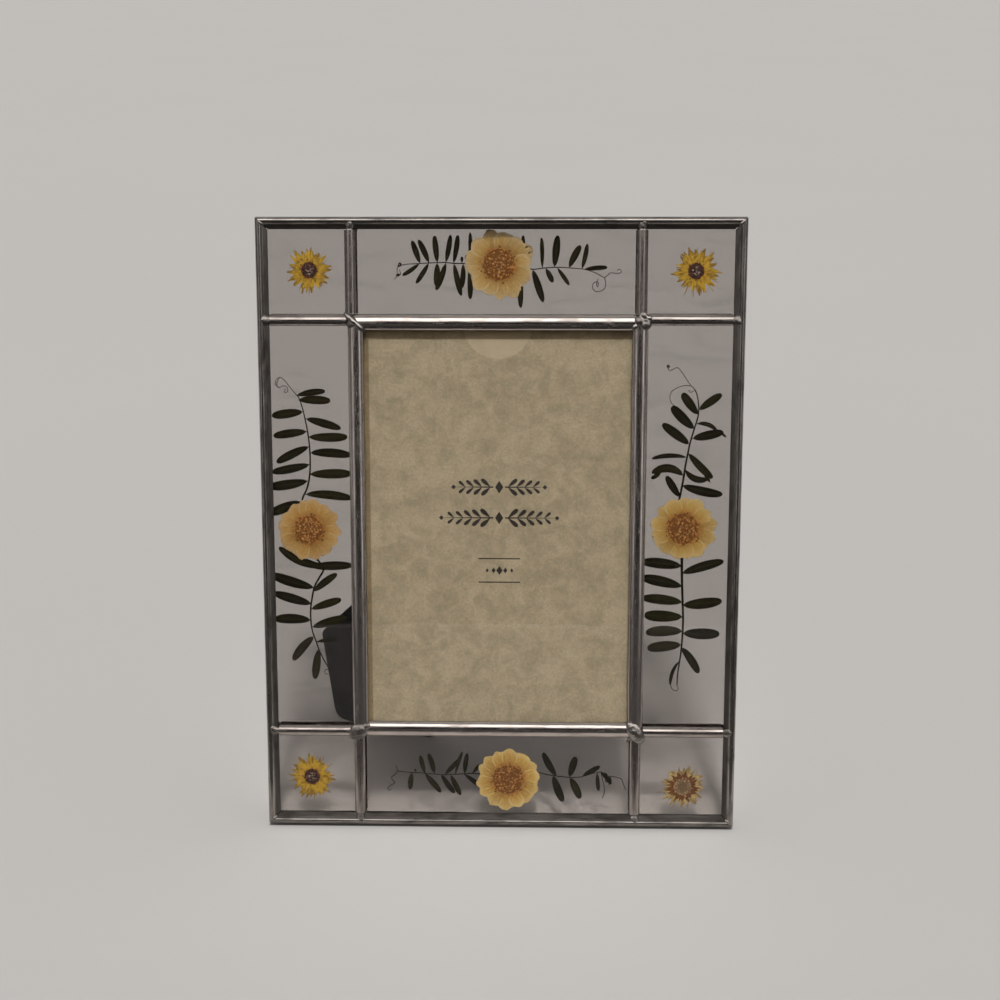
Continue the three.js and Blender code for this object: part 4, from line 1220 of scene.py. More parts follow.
# Drawn about the middle of the daisy that each one comes out from under. A leaf is its
# base, its tip, its width and, where it is bent, how far its middle stands to the left.
SPRIGS = {
    "left_upper": {
        "flower": "left", "thick": (0.8, 0.36),
        "stem": [(-1.7, 6), (-2.3, 11.3), (-0.5, 15.5), (0.6, 20.5), (0.9, 26), (0.7, 32), (0.1, 37),
                 (-0.7, 41.5), (-1.7, 46), (-2.9, 49.5), (-3.9, 50.7)],
        "leaves": [
            (-3.7, 50.3, 6.9, 51.9, 2.4, 0.4), (-3.1, 48.6, 8.8, 48.3, 3.2), (-1.3, 44.3, -13, 42.7, 3.4),
            (-0.5, 41.7, 12.5, 38, 3.2), (0, 36.9, -12.6, 35.2, 3.2), (0.4, 34.9, 14.9, 35, 3.4),
            (0.6, 31.3, -11.6, 25.3, 3.2), (0.9, 28.9, 16.1, 28, 3.5), (0.7, 24.6, -13.6, 21.7, 3.3),
            (0.6, 20.9, 16.1, 21.2, 3.6), (-0.1, 18.4, -14.9, 16, 3.7), (-1.1, 13.3, 16.1, 11.8, 3.4),
            (-2.9, 10.6, -15.1, 5.8, 3.8),
        ],
        "tendrils": [
            [(-3.9, 50.7), (-6.2, 53.5), (-8.2, 56), (-9.8, 57), (-11.2, 56), (-11.5, 54.5), (-10.3, 53.1)],
            [(-9.9, 56.9), (-10.9, 54.9), (-10.3, 53.2), (-8.7, 53.8), (-7.3, 53.6), (-6.9, 52),
             (-7.9, 51.4), (-8.2, 52.3), (-7.5, 52.8)],
        ],
    },
    "left_lower": {
        "flower": "left", "thick": (0.85, 0.4),
        "stem": [(1.1, -6.5), (2.7, -11), (5.1, -15.1), (3.3, -18.7), (1.6, -22), (0.5, -27), (0, -31),
                 (0, -35), (0.5, -39), (1.8, -43), (2.9, -46.4), (4.3, -49.5), (6.1, -53)],
        "leaves": [
            (6.2, -14.2, -11.5, -6.8, 3.5, 1.8), (0.2, -14.2, 16.1, -13.6, 3.5),
            (1.2, -23.8, 10.2, -16.9, 2.9),
            (1.4, -22.3, -14.6, -17.4, 3.9), (0.4, -28.6, -14, -24.4, 3.7), (0.1, -30.6, 11.6, -26.7, 3),
            (0, -34.9, -13.6, -34.6, 3.8), (0.4, -37.6, 13.7, -33.8, 3.4), (1.9, -43.3, 9.8, -42, 1.7),
            (1.1, -41.1, -7, -50.6, 3.4, -0.5), (2.7, -46, 1.1, -57.8, 3.1),
        ],
        "tendrils": [[(6.1, -53), (6.9, -54), (5.4, -54.1), (4.9, -55), (5.4, -55.8), (6.3, -55.8)]],
    },
    "right_upper": {
        "flower": "right", "thick": (0.9, 0.36),
        "stem": [(-1.1, 6), (-1.7, 9.8), (-1.1, 13.5), (-0.3, 18), (0.5, 24), (1.3, 28.5), (2.1, 32.6),
                 (3.6, 38), (4.6, 41.5), (4.9, 45), (4.4, 49), (3.5, 51.8)],
        "leaves": [
            (4.8, 42.6, -1.1, 50.6, 3.2), (3.5, 37.3, -4.9, 45.7, 3.6), (1.8, 31.6, -8.3, 39.2, 3.5),
            (4.9, 44.3, 13.2, 50.2, 3), (4.1, 39.2, 11.6, 37, 1.7, 1.1), (2.7, 33.8, 14.2, 36.3, 3.5),
            (1, 26.7, -12, 26.2, 1.8, -0.9), (-0.1, 19.7, -11.9, 20.8, 3.3, -2.5),
            (1.4, 28.4, 10.5, 19, 2.9), (0.4, 22.3, 8.7, 18.7, 2.5, -1.7), (-1.4, 11.8, -6.5, 19.8, 2.9),
            (-8.4, 22.7, -12.2, 18.9, 1.6, 0.7), (9.9, 17.4, 7.8, 21.4, 1.6, 0.4),
            (13.0, 36.4, 15.2, 34.4, 0.9), (-0.6, 16.3, 14.4, 13, 3.6),
        ],
        "tendrils": [
            [(3.5, 51.8), (1.6, 53.7), (-1.4, 58), (-3.2, 59.9), (-4.8, 59.3), (-6, 58.8), (-6.7, 60),
             (-5.9, 60.4)],
            [(2.1, 53.2), (-0.7, 53.3), (-3.7, 52.2), (-5.5, 50.6), (-5.7, 48.4), (-5.1, 46.9),
             (-3.9, 45.7)],
            [(3.5, 51.8), (2.1, 50.9), (1.1, 51.2), (1.6, 51.7)],
        ],
        "knots": [(-6.6, 60.3, 0.6)],
    },
    "right_lower": {
        "flower": "right", "thick": (1.1, 0.42),
        "stem": [(-0.2, -7), (-0.2, -11.5), (0, -19), (0.3, -26), (0.7, -34), (0.6, -41), (0.2, -47),
                 (-0.3, -51), (-0.9, -56), (-1.1, -60.4)],
        "leaves": [
            (-0.1, -14.3, -15.1, -12.7, 4.1), (0.1, -22, -15.1, -18.6, 4.1), (0.3, -28.1, -14.9, -26.5, 4),
            (0.6, -33.7, -13.8, -33.1, 4.3), (0.7, -39.3, -13.2, -39.9, 4.1), (0.4, -44.5, -12.5, -46, 4),
            (0, -17, 15.4, -12.3, 3.7), (0.4, -29.2, 15.1, -27.4, 4.3), (0.7, -40, 14.5, -40.2, 4.4),
            (0.2, -45.4, 6.9, -55.5, 3.1), (-0.3, -50.8, -3.6, -60.2, 1.4, -1),
        ],
        "tendrils": [[(-3.6, -60.2), (-2.8, -61.8), (-1.5, -62.4), (-0.5, -61.6), (-1.1, -60.6)]],
    },
    "top_left": {
        "flower": "top", "thick": (0.46, 0.28),
        "stem": [(-4.4, 0), (-10.4, 0.3), (-16.2, 0.4), (-19.9, 0.7), (-23.9, 0.6), (-29.4, 0.3),
                 (-33.4, 0.1), (-36.2, -0.4)],
        "leaves": [
            (-28.8, 0.3, -31.7, 8.5, 2.2), (-25.5, 0.5, -29.3, 8.8, 2.2), (-22.5, 0.6, -23.5, 10.3, 2.2),
            (-19.4, 0.7, -17.6, 10.6, 2), (-16.6, 0.4, -15, 10.5, 1.9), (-10.4, 0.3, -10.5, 11.4, 1.6),
            (-13.5, 0.4, -13.6, 2.8, 1.1), (-29, 0.3, -35.2, -3.9, 1.6), (-25.6, 0.5, -30.3, -6.8, 1.8),
            (-22.6, 0.6, -23.1, -7.6, 2.4), (-19.3, 0.6, -23, -9.2, 2.2), (-16.4, 0.4, -13.8, -11.3, 2.2),
            (-13.1, 0.3, -13.6, -8.6, 2), (-10.6, 0.3, -10.6, -12.5, 2),
        ],
        "tendrils": [
            [(-36, -0.4), (-36.1, 0.9)],
            [(-36.2, -0.4), (-37.1, -1.3), (-37, -3), (-35.9, -3.6), (-36.3, -1.8)],
            [(-36.6, -3.6), (-37.3, -4.4), (-38.3, -5.4)],
        ],
        "knots": [(-36.2, -0.2, 0.8), (-36.9, -3.8, 0.7)],
    },
    "top_right": {
        "flower": "top", "thick": (0.46, 0.28),
        "stem": [(4.6, -0.8), (8.1, -1), (12.2, -1.7), (16.1, -1.3), (20.6, -1), (25.6, -1.2),
                 (30.9, -1.7), (34.6, -2.8), (38.3, -4.7)],
        "leaves": [
            (15.7, -1.3, 15.4, 9.6, 1.5), (20.2, -1, 21.3, 10.4, 2.8), (25.4, -1.2, 29.5, 6.8, 2.5),
            (30.1, -1.6, 32, 7.4, 1.8), (30.9, -1.7, 39.3, -1, 1.7), (8, -1, 8.8, 10.4, 1.7),
            (12.2, -1.7, 16.1, -13.5, 2.7), (16.9, -1.3, 19.6, -6.4, 2), (21.1, -1.1, 25.5, -7.4, 1.6),
            (7.4, -1, 7.9, -15.6, 2.1),
        ],
        "tendrils": [
            [(38.3, -4.7), (39.6, -3.7), (40.7, -2.9), (42.6, -3.2), (44.2, -2.9), (44.3, -2), (43.5, -1.7),
             (42.9, -2.3)],
            [(38.3, -4.7), (38.8, -6.6), (38.5, -8.4), (37.2, -9.4), (35.4, -9.7), (34.2, -8.7), (34.2, -7),
             (35.3, -6.2), (36.2, -6.9), (35.8, -8.1), (35.5, -6.8), (36.1, -5.1)],
        ],
    },
    "bottom_left": {
        "flower": "bottom", "thick": (0.46, 0.28),
        "stem": [(-4.6, 1.6), (-12.9, 2.2), (-17.1, 2), (-22.1, 1.7), (-26.1, 1.6), (-31.1, 2.1),
                 (-37.1, 2.4), (-42.5, 2.9)],
        "leaves": [
            (-31.9, 2.1, -33.7, 9.2, 1.9), (-28.3, 1.9, -30.7, 10, 2.1), (-24.3, 1.7, -18.3, 8, 1.9),
            (-20.3, 1.8, -17.6, 10.8, 1.3), (-16.8, 2, -15.7, 10.2, 1.9), (-16.9, 1.9, -10.5, -3.4, 1.8),
            (-13.7, 2.2, -11.1, 5.8, 1.3), (-36.9, 2.4, -37.7, -4.4, 2.1), (-32, 2.1, -25.9, -5.4, 2.3),
            (-25.7, 1.7, -20.6, -5.7, 2.1), (-22.1, 1.7, -18.3, -6.5, 2.1), (-35.5, 2.3, -35.8, 3.8, 0.8),
        ],
        "tendrils": [
            [(-42.5, 2.9), (-42.7, 4.2), (-43.3, 5.1)],
            [(-42.5, 2.9), (-43.4, 1.6), (-44.7, 0.6), (-44.5, -0.7), (-43.7, -1.8), (-45.1, -2.8),
             (-46.4, -4), (-45.7, -4.8), (-45, -3.8)],
        ],
    },
    "bottom_right": {
        "flower": "bottom", "thick": (0.46, 0.28),
        "stem": [(6.4, 2.9), (11.1, 2.9), (14.9, 2), (18.9, 1.4), (23.5, 1), (27.9, 1.2), (30.4, 2.2),
                 (34.3, 3), (35.5, 3.4)],
        "leaves": [
            (18.6, 1.4, 13.4, 10.8, 2.7), (23.5, 1, 25.8, 9.2, 2.8), (28.3, 1.4, 35.1, 5.5, 2.1),
            (17.2, 1.7, 21.1, -8.8, 3.1), (23.7, 1, 27.6, -7.5, 3), (34.1, 2.9, 34.7, -4.4, 1.6),
            (35.3, 3.4, 39.5, -1, 1.7),
        ],
        "tendrils": [
            [(35.5, 3.4), (36, 0.9), (36.7, -2.1), (36.9, -5), (36.1, -7.2)],
            [(35.5, 3.4), (37.5, 1.8), (40.9, 1.3), (43.3, 0.5), (44.2, -1.6), (45.1, -3.8)],
            [(38.4, 0.9), (39.2, -1.4), (38.3, -1.7)],
        ],
        "knots": [(37.4, 1.9, 1.2), (38.5, 0.2, 1.4), (39.0, -1.2, 0.8)],
    },
}
TENDRIL_RADIUS = 0.14
LEAF_ROWS = 16
PETIOLE_LENGTH = 0.45


def leaf_blade(shells, centre, leaf, rng):
    """A long oval leaf on a short stalk, with a slight wave and its own tone."""
    base = Vector(leaf[0:2])
    tip = Vector(leaf[2:4])
    width = leaf[4]
    along = tip - base
    length = along.length
    left = Vector((-along.y, along.x)) / length
    bend = leaf[5] if len(leaf) > 5 else rng.uniform(-0.03, 0.03) * length
    stalk = min(0.3, PETIOLE_LENGTH / length)
    fullness = rng.uniform(0.36, 0.44)
    balance = rng.uniform(-0.1, 0.1)
    rings, places = [], []
    for row in range(LEAF_ROWS + 1):
        t = (1 - math.cos(math.pi * row / LEAF_ROWS)) / 2
        middle = base + along * t + left * (bend * 4 * t * (1 - t))
        slope = (along + left * (bend * 4 * (1 - 2 * t))).normalized()
        out = Vector((-slope.y, slope.x))
        blade = max(0.0, (t - stalk) / (1 - stalk))
        oval = 1.856 * blade ** 0.5 * (1 - blade) ** fullness
        half = max(width / 2 * oval, 0.14 if t < 0.9 else 0.1)
        wave = 0.03 * math.sin(t * 9 + width * 7)
        ring, spots = [], []
        for s, face in across_steps(4):
            edge = s * half * (1 + balance * (1 if s > 0 else -1))
            at = Vector(centre) + middle + out * edge
            depth = SPRIG_MIDDLE + wave * s + face * 0.05 * (1 - 0.9 * s * s)
            ring.append((at.x, depth, at.y))
            spots.append((t, s))
        rings.append(ring)
        places.append(spots)
    shells.loft(rings, places, rng.random())


def knot_line(at, size, rng):
    """A little tangle of dried tendril."""
    points = []
    angle = rng.uniform(0, math.tau)
    for _ in range(9):
        angle += rng.uniform(1.1, 2.6)
        reach = size * rng.uniform(0.4, 1.0)
        points.append((at[0] + reach * math.cos(angle), at[1] + reach * math.sin(angle)))
    return points


def add_thread(curve, centre, points, widths):
    """Adds a smooth thread in face millimetres, tapering between two widths."""
    line = smooth_line(points, 6)
    spline = curve.splines.new("POLY")
    spline.points.add(len(line) - 1)
    for i, (spot, at) in enumerate(zip(spline.points, line)):
        t = i / (len(line) - 1)
        spot.co = (*on_face((centre[0] + at.x, SPRIG_MIDDLE, centre[1] + at.y)), 1)
        spot.radius = (widths[0] + (widths[1] - widths[0]) * t) / 2 * MM


def press_flat(mesh, middle, room):
    """Squeezes what is thicker than the gap between the panes, as pressing did."""
    to_face = FACE.inverted()
    for vertex in mesh.vertices:
        place = to_face @ vertex.co
        place.y = (middle + room * math.tanh((place.y / MM - middle) / room)) * MM
        vertex.co = FACE @ place


def make_sprig(name, sprig, tree, material):
    """One sprig: its leaves, and its stem and tendrils as threads."""
    rng = random.Random(name)
    centre = DAISIES[sprig["flower"]]["at"]
    leaves = Shells()
    for leaf in sprig["leaves"]:
        leaf_blade(leaves, centre, leaf, rng)
    curve = bpy.data.curves.new("threads", "CURVE")
    curve.dimensions = "3D"
    add_thread(curve, centre, sprig["stem"], sprig["thick"])
    for tendril in sprig["tendrils"]:
        add_thread(curve, centre, tendril, (TENDRIL_RADIUS * 2, TENDRIL_RADIUS * 1.6))
    for u, v, size in sprig.get("knots", []):
        line = knot_line((u, v), size, rng)
        add_thread(curve, centre, line, (TENDRIL_RADIUS * 3, TENDRIL_RADIUS * 2))
    threads = link("threads", curve)
    blades = leaves.mesh("blades", material)
    values = {"Threads": threads, "Sides": 8, "Finish": material}
    piece = grown(f"pressed_sprig_{name}", tree, values, blades)
    bpy.data.objects.remove(threads)
    press_flat(piece.data, SPRIG_MIDDLE, SPRIG_ROOM)
    face_outwards(piece.data, 60.0)
    settle(piece, "frame", "leaf", f"sprig_{name}")


# --- Card ornament -------------------------------------------------------------------

def drop_outline(centre, angle, length, width):
    """A drop, pointed at its start, that leans out along the angle."""
    out = Vector((math.cos(angle), math.sin(angle)))
    side = Vector((-out.y, out.x))
    steps = 28
    points = []
    for i in range(steps):
        turn = math.tau * i / steps
        reach = (1 - math.cos(turn)) / 2
        half = math.sin(turn) * math.sin(turn / 2) ** 1.4
        at = Vector(centre) + out * (length * reach) + side * (width / 2 * half)
        points.append((at.x, at.y))
    return points


def lozenge_outline(u, v, half_width, half_height):
    """A lozenge about a middle."""
    return [(u - half_width, v), (u, v - half_height), (u + half_width, v), (u, v + half_height)]


def rule_outline(start, end, v, thick):
    """A rule that tapers towards its end."""
    return [(start, v - thick / 2), (end, v - thick / 8), (end, v + thick / 8), (start, v + thick / 2)]


def branch(shells, centre, side, pairs, pitch, length):
    """A row of paired drops along a thin rule, like a laurel branch."""
    u, v = centre
    shells.inked(rule_outline(u + side * 2.2, u + side * (3.4 + pairs * pitch), v, 0.55))
    for i in range(pairs):
        start = (u + side * (3.2 + i * pitch), v)
        for slant in (0.72, -0.72):
            angle = slant if side > 0 else math.pi - slant
            size = length * (1 - 0.09 * i)
            shells.inked(drop_outline(start, angle, size, size * 0.46))
    shells.inked(lozenge_outline(u + side * (4.6 + pairs * pitch), v, 0.9, 0.9))


def make_ornament(material):
    """Plain printer's ornament in the middle of the card."""
    shells = Shells()
    upper, lower = (-0.5, 130.8), (-0.5, 119.2)
    for centre, pairs, pitch, length in ((upper, 4, 3.1, 4.6), (lower, 5, 3.4, 5.0)):
        for side in (-1, 1):
            branch(shells, centre, side, pairs, pitch, length)
        shells.inked(lozenge_outline(*centre, 1.5, 2.4))
    left, right, half = -8.3, 7.4, 0.22
    for v in (103.7, 94.7):
        shells.inked([(left, v - half), (right, v - half), (right, v + half), (left, v + half)])
    for u, size in ((-5, 0.8), (-2.6, 1.1), (-0.4, 1.7), (1.8, 1.1), (4.2, 0.8)):
        shells.inked(lozenge_outline(u, 99.2, size * 0.72, size))
    piece = link("card_ornament", shells.mesh("card_ornament", material))
    settle(piece, "frame", "card")


# --- Hinge ---------------------------------------------------------------------------

JOINT = frame["joints"][0]
PIN_AXIS = -Vector(JOINT["axis"]).normalized()
HINGE = (Matrix.Translation(JOINT["pos_m"])
         @ Matrix((PIN_AXIS, BACK, PIN_AXIS.cross(BACK))).transposed().to_4x4())
# The leaves stand half a degree further apart than the leg swings.
LEG_OPEN = math.radians(JOINT["range_deg"][1] + 0.5)
# Rivets: how far the leaves' faces are from the pin, how far out they sit, their pitch.
PLATE_FACE = {"board": -1.35, "leg": 1.95}
RIVET_OUT, RIVET_PITCH = 7.4, 10.5


def make_rivets(leaf, tree, side, place, body, material, settings):
    """Three rivets in the middle of a hinge leaf."""
    start = Vector((-RIVET_PITCH, PLATE_FACE[leaf], side * RIVET_OUT)) * MM
    piece = grown("rivets_" + leaf, tree, {
        "Count": 3, "Start": start, "Pitch": (RIVET_PITCH * MM, 0, 0),
        "Radius": settings.rivet, "Rise": settings.rivet * 0.42, "Finish": material,
    })
    piece.data.transform(place)
    face_outwards(piece.data, 60.0)
    settle(piece, body, "steel")


# --- Stage ---------------------------------------------------------------------------

CAMERA_SPOT = (13.135, -544.82, 212.4)
CAMERA_PITCH, CAMERA_YAW, CAMERA_ROLL = (math.radians(turn) for turn in (8.961, 1.394, 0.037))
# What shines sees a dark room. Its boxes in degrees: from and to above level and the
# softness of that, then the same to the right of straight ahead.
OVERHEAD_BOX = ((21, 48, 3), (-70, 70, 8))
RIGHT_BOX = ((-40, 30, 6), (25, 34, 3))
LEFT_BOX = ((-40, 30, 6), (-36, -27, 3))
DARK_BOX = ((-30, 16, 2), (-17, 17, 4))
# The key light's height, its turn to the right and how wide it looks.
KEY_HEIGHT, KEY_TURN, KEY_SIZE = (math.radians(turn) for turn in (64, 6, 7.5))
FLOOR_CORNERS = ((-9, -6), (9, 16))
# A dark sheet in front that only shows in what shines.
FLAG_CORNERS, FLAG_LEVEL = ((-2, -5), (2, -0.12)), 0.5 * MM


def make_camera(lens):
    """Stands in front of the frame, a little above and to the right of its middle."""
    turn = (Matrix.Rotation(CAMERA_ROLL, 3, "Z") @ Matrix.Rotation(CAMERA_PITCH, 3, "X")
            @ Matrix.Rotation(CAMERA_YAW, 3, "Y"))
    axes = Matrix((RIGHT, -UP, BACK)).transposed()
    right, down, forward = (axes @ row for row in turn)
    data = bpy.data.cameras.new("Camera")
    data.lens = lens
    data.clip_end = 60
    camera = link("Camera", data)
    spot = Matrix((right, -down, -forward)).transposed().to_4x4()
    camera.matrix_world = Matrix.Translation(on_face(CAMERA_SPOT)) @ spot
    bpy.context.scene.camera = camera


def make_studio_world(settings):
    """Even pale light, and a dark room with soft boxes for what shines."""
    world = bpy.data.worlds.new("Studio")
    bpy.context.scene.world = world
    world.use_nodes = True
    tree = world.node_tree
    tree.nodes.clear()
    x, y, z = parts_of(Value(put(tree, "ShaderNodeTexCoord").outputs["Generated"]))
    height = maths("ARCSINE", z) * math.degrees(1)
    sweep = maths("ARCTAN2", x, y * -1.0) * math.degrees(1)
    overhead, right, left, ahead = (
        band(height, *box[0]) * band(sweep, *box[1])
        for box in (OVERHEAD_BOX, RIGHT_BOX, LEFT_BOX, DARK_BOX)
    )
    room = spread(height, 50, 75, 0.12, 0.42) + spread(y, 0.1, 0.5) * 0.4
    boxes = overhead + right * 0.36 + left * 0.26
    shine = boxes * settings.softbox + room * (ahead * -0.85 + 1.0)
    glossy = put(tree, "ShaderNodeLightPath").outputs["Is Glossy Ray"]
    light = output(tree, "ShaderNodeMix", {0: glossy, 2: settings.ambient, 3: shine}, data_type="FLOAT")
    ground = put(tree, "ShaderNodeBackground", {"Color": (1, 0.985, 0.97, 1), "Strength": light})
    put(tree, "ShaderNodeOutputWorld", {"Surface": ground})


def make_key_light(settings):
    """A soft sun from above the front, a little to the right."""
    data = bpy.data.lights.new("Key", "SUN")
    data.energy = settings.key
    data.angle = KEY_SIZE
    data.color = (1, 0.985, 0.96)
    key = link("Key", data)
    level = math.cos(KEY_HEIGHT)
    towards = Vector((math.sin(KEY_TURN) * level, -math.cos(KEY_TURN) * level, math.sin(KEY_HEIGHT)))
    key.rotation_mode = "QUATERNION"
    key.rotation_quaternion = towards.to_track_quat("Z", "Y")
    key.visible_glossy = False


def flat_sheet(name, corners, level, material):
    """A level rectangle between two (x, y) corners, which isn't part of the frame."""
    (left, front), (right, back) = corners
    mesh = bpy.data.meshes.new(name)
    around = [(left, front), (right, front), (right, back), (left, back)]
    mesh.from_pydata([(x, y, level) for x, y in around], [], [(0, 1, 2, 3)])
    mesh.materials.append(material)
    sheet = link(name, mesh)
    return sheet


# --- Settings ------------------------------------------------------------------------

def colour_setting(name, description, default):
    """A colour that a user can change."""
    return FloatVectorProperty(name=name, description=description, default=default,
                               subtype="COLOR", size=3, min=0.0, max=1.0)


class CameSettings(bpy.types.PropertyGroup):
    """Metal of the cames and the solder."""
    bright: colour_setting("Bright", "Polished tinned metal", (0.57, 0.505, 0.465))
    tarnish: colour_setting("Tarnish", "Metal under its tarnish", (0.32, 0.272, 0.245))
    border: colour_setting("Border", "Metal of the border", (0.4, 0.365, 0.335))
    border_tarnish: colour_setting("Border tarnish", "Darkest metal of the border", (0.1, 0.088, 0.08))
    solder: colour_setting("Solder", "Solder at the joints", (0.38, 0.345, 0.318))
    cover: FloatProperty(name="Cover", description="How much of the came is tarnished",
                         default=0.5, min=0.0, max=1.0, subtype="FACTOR")
    step: FloatProperty(name="Step", description="Length between two sections of a strip",
                        default=1.2 * MM, unit="LENGTH")
    ripple: FloatProperty(name="Ripple", description="Height of the dents in the crown",
                          default=0.07 * MM, unit="LENGTH")


class GlassSettings(bpy.types.PropertyGroup):
    """What the panes let through."""
    # The tint is painted shade on what is seen through the panes.
    tint: colour_setting("Tint", "What the glass lets through", (0.75, 0.725, 0.71))
    dusty_tint: colour_setting("Dusty tint", "The same where it is dusty", (0.69, 0.67, 0.655))
    shadow_tint: colour_setting("Shadow tint", "Light that reaches what lies behind", (0.86, 0.855, 0.85))


class CardSettings(bpy.types.PropertyGroup):
    """Colours of the insert card."""
    card_dark: colour_setting("Dark clouds", "Darker clouds of the card", (0.31, 0.27, 0.18))
    card_light: colour_setting("Light clouds", "Lighter clouds of the card", (0.44, 0.385, 0.265))
    card_warm: colour_setting("Warm flecks", "Fine warm mottling", (0.43, 0.352, 0.228))
    card_lit: colour_setting("Lit notch", "Where light comes through at the notch", (0.56, 0.48, 0.335))


class PlantSettings(bpy.types.PropertyGroup):
    """Colours of the leaves, and the florets."""
    leaf_dark: colour_setting("Leaf", "Dried leaf", (0.0064, 0.006, 0.0018))
    leaf_brown: colour_setting("Browned leaf", "Leaf where it has browned", (0.015, 0.013, 0.004))
    leaf_vein: colour_setting("Veins", "Midrib and veins", (0.036, 0.031, 0.014))
    florets: IntProperty(name="Florets", description="Florets in a daisy's disc", default=240, min=20)
    floret: FloatProperty(name="Floret width", description="Width of a floret",
                          default=0.78 * MM, unit="LENGTH")


class BoardSettings(bpy.types.PropertyGroup):
    """The board, the leg and the hinge's rivets."""
    paper: colour_setting("Paper", "Charcoal covering paper", (0.008, 0.0078, 0.0084))
    paper_worn: colour_setting("Worn paper", "The paper where it has faded", (0.02, 0.019, 0.02))
    edge: FloatProperty(name="Edge radius", description="Rounding of the board's edges",
                        default=0.3 * MM, unit="LENGTH")
    rivet: FloatProperty(name="Rivet radius", description="Radius of a hinge rivet's head",
                         default=1.5 * MM, unit="LENGTH")


class StageSettings(bpy.types.PropertyGroup):
    """Table, light and camera."""
    floor: colour_setting("Floor", "Table and background", (0.66, 0.645, 0.63))
    ambient: FloatProperty(name="Ambient", description="Even light from all around", default=0.27, min=0.0)
    key: FloatProperty(name="Key", description="Soft light from above the front", default=1.9, min=0.0)
    softbox: FloatProperty(name="Soft boxes", description="Brightness of the boxes that shine on metal",
                           default=2.15, min=0.0)
    lens: FloatProperty(name="Lens", description="Focal length of the camera", default=53.64,
                        subtype="DISTANCE_CAMERA")


# --- Operators -----------------------------------------------------------------------

# Two panes for each of the eight panels, and the picture's.
PANE_COUNT = 17


class PRESSED_OT_stage(bpy.types.Operator):
    """Set up the camera, the floor and the light"""
    bl_idname = "pressed.stage"
    bl_label = "Stage"

    def execute(self, context):
        settings = context.scene.pressed_stage
        make_camera(settings.lens)
        make_studio_world(settings)
        make_key_light(settings)
        flat_sheet("floor", FLOOR_CORNERS, 0.0, floor_finish(settings))
        black = {"Base Color": (0.02, 0.02, 0.02, 1), "Roughness": 0.9}
        shade = new_material("Dark flag", lambda tree: black)
        flag = flat_sheet("flag", FLAG_CORNERS, FLAG_LEVEL, shade)
        for ray in ("camera", "diffuse", "transmission", "shadow"):
            setattr(flag, "visible_" + ray, False)
        context.scene.view_settings.view_transform = "Standard"
        context.scene.cycles.use_denoising = True
        return {"FINISHED"}


class PRESSED_OT_glass(bpy.types.Operator):
    """Finish the panes and the picture glass"""
    bl_idname = "pressed.glass"
    bl_label = "Glass"

    def execute(self, context):
        material = pane_finish(context.scene.pressed_glass)
        panes = [name for name in frame["nodes"] if "_pane_" in name or name == "photo_glass"]
        if len(panes) != PANE_COUNT:
            raise RuntimeError(f"expected {PANE_COUNT} panes and found {len(panes)}")
        for name in panes:
            dress(frame["nodes"][name].data, material)
        return {"FINISHED"}


class PRESSED_OT_cames(bpy.types.Operator):
    """Make the sixteen came strips"""
    bl_idname = "pressed.cames"
    bl_label = "Cames"

    def execute(self, context):
        settings = context.scene.pressed_came
        metal = (settings.bright, settings.tarnish)
        border = (settings.border, settings.border_tarnish)
        # Copies of one metal with painted light and shade: the pocket's is a little lighter, and the uprights',
        # crosses' and bottom border's are darker, by how each strip faces the light.
        finishes = {
            "pocket": came_finish("Tinned came", *darker(metal, 1.08), settings.cover - 0.12, 1.05 * MM),
            "upright": came_finish("Dulled came", *darker(metal, 0.76), settings.cover + 0.08, 1.0 * MM),
            "cross": came_finish("Handled came", *darker(metal, 0.85), settings.cover, 1.0 * MM),
            "border": came_finish("Darkened border", *border, settings.cover, 0.66 * MM),
            "foot": came_finish("Blackened foot", *darker(border, 0.72), settings.cover + 0.1, 0.6 * MM),
        }
        tree = came_maker()
        for seed, (node, profile, heading, mitre) in enumerate(came_strips()):
            kind = "foot" if node == "border_came_bottom" else node.split("_")[0]
            make_came(node, profile, heading, mitre, seed, settings, tree, finishes[kind])
        return {"FINISHED"}


class PRESSED_OT_solder(bpy.types.Operator):
    """Make the solder joints, front and back"""
    bl_idname = "pressed.solder"
    bl_label = "Solder"

    def execute(self, context):
        colour = rgba(context.scene.pressed_came.solder)
        tarnish = (0.12, 0.108, 0.096, 1)
        material = bare_metal_finish("Solder", colour, tarnish, 0.65, 0.4, 0.05 * MM, 0.07)
        joints = dict(SOLDER_JOINTS)
        joints.update((name, border_joint(*place)) for name, place in BORDER_JOINTS.items())
        for name, blobs in joints.items():
            settle(melted("solder_" + name, blobs, material, 0.11), "frame", "came")
            if not name.startswith("corner"):
                size = BORDER_BACK_SIZE if name.startswith("border") else 1.0
                lump = back_joint(*blobs[0][:2], size, random.Random("back " + name))
                settle(melted("solder_back_" + name, lump, material, 0.08), "frame", "came")
        return {"FINISHED"}


class PRESSED_OT_card(bpy.types.Operator):
    """Finish the insert card and print its ornament"""
    bl_idname = "pressed.card"
    bl_label = "Card"

    def execute(self, context):
        dress(frame["nodes"]["insert_card"].data, card_finish(context.scene.pressed_card))
        make_ornament(ink_finish())
        return {"FINISHED"}


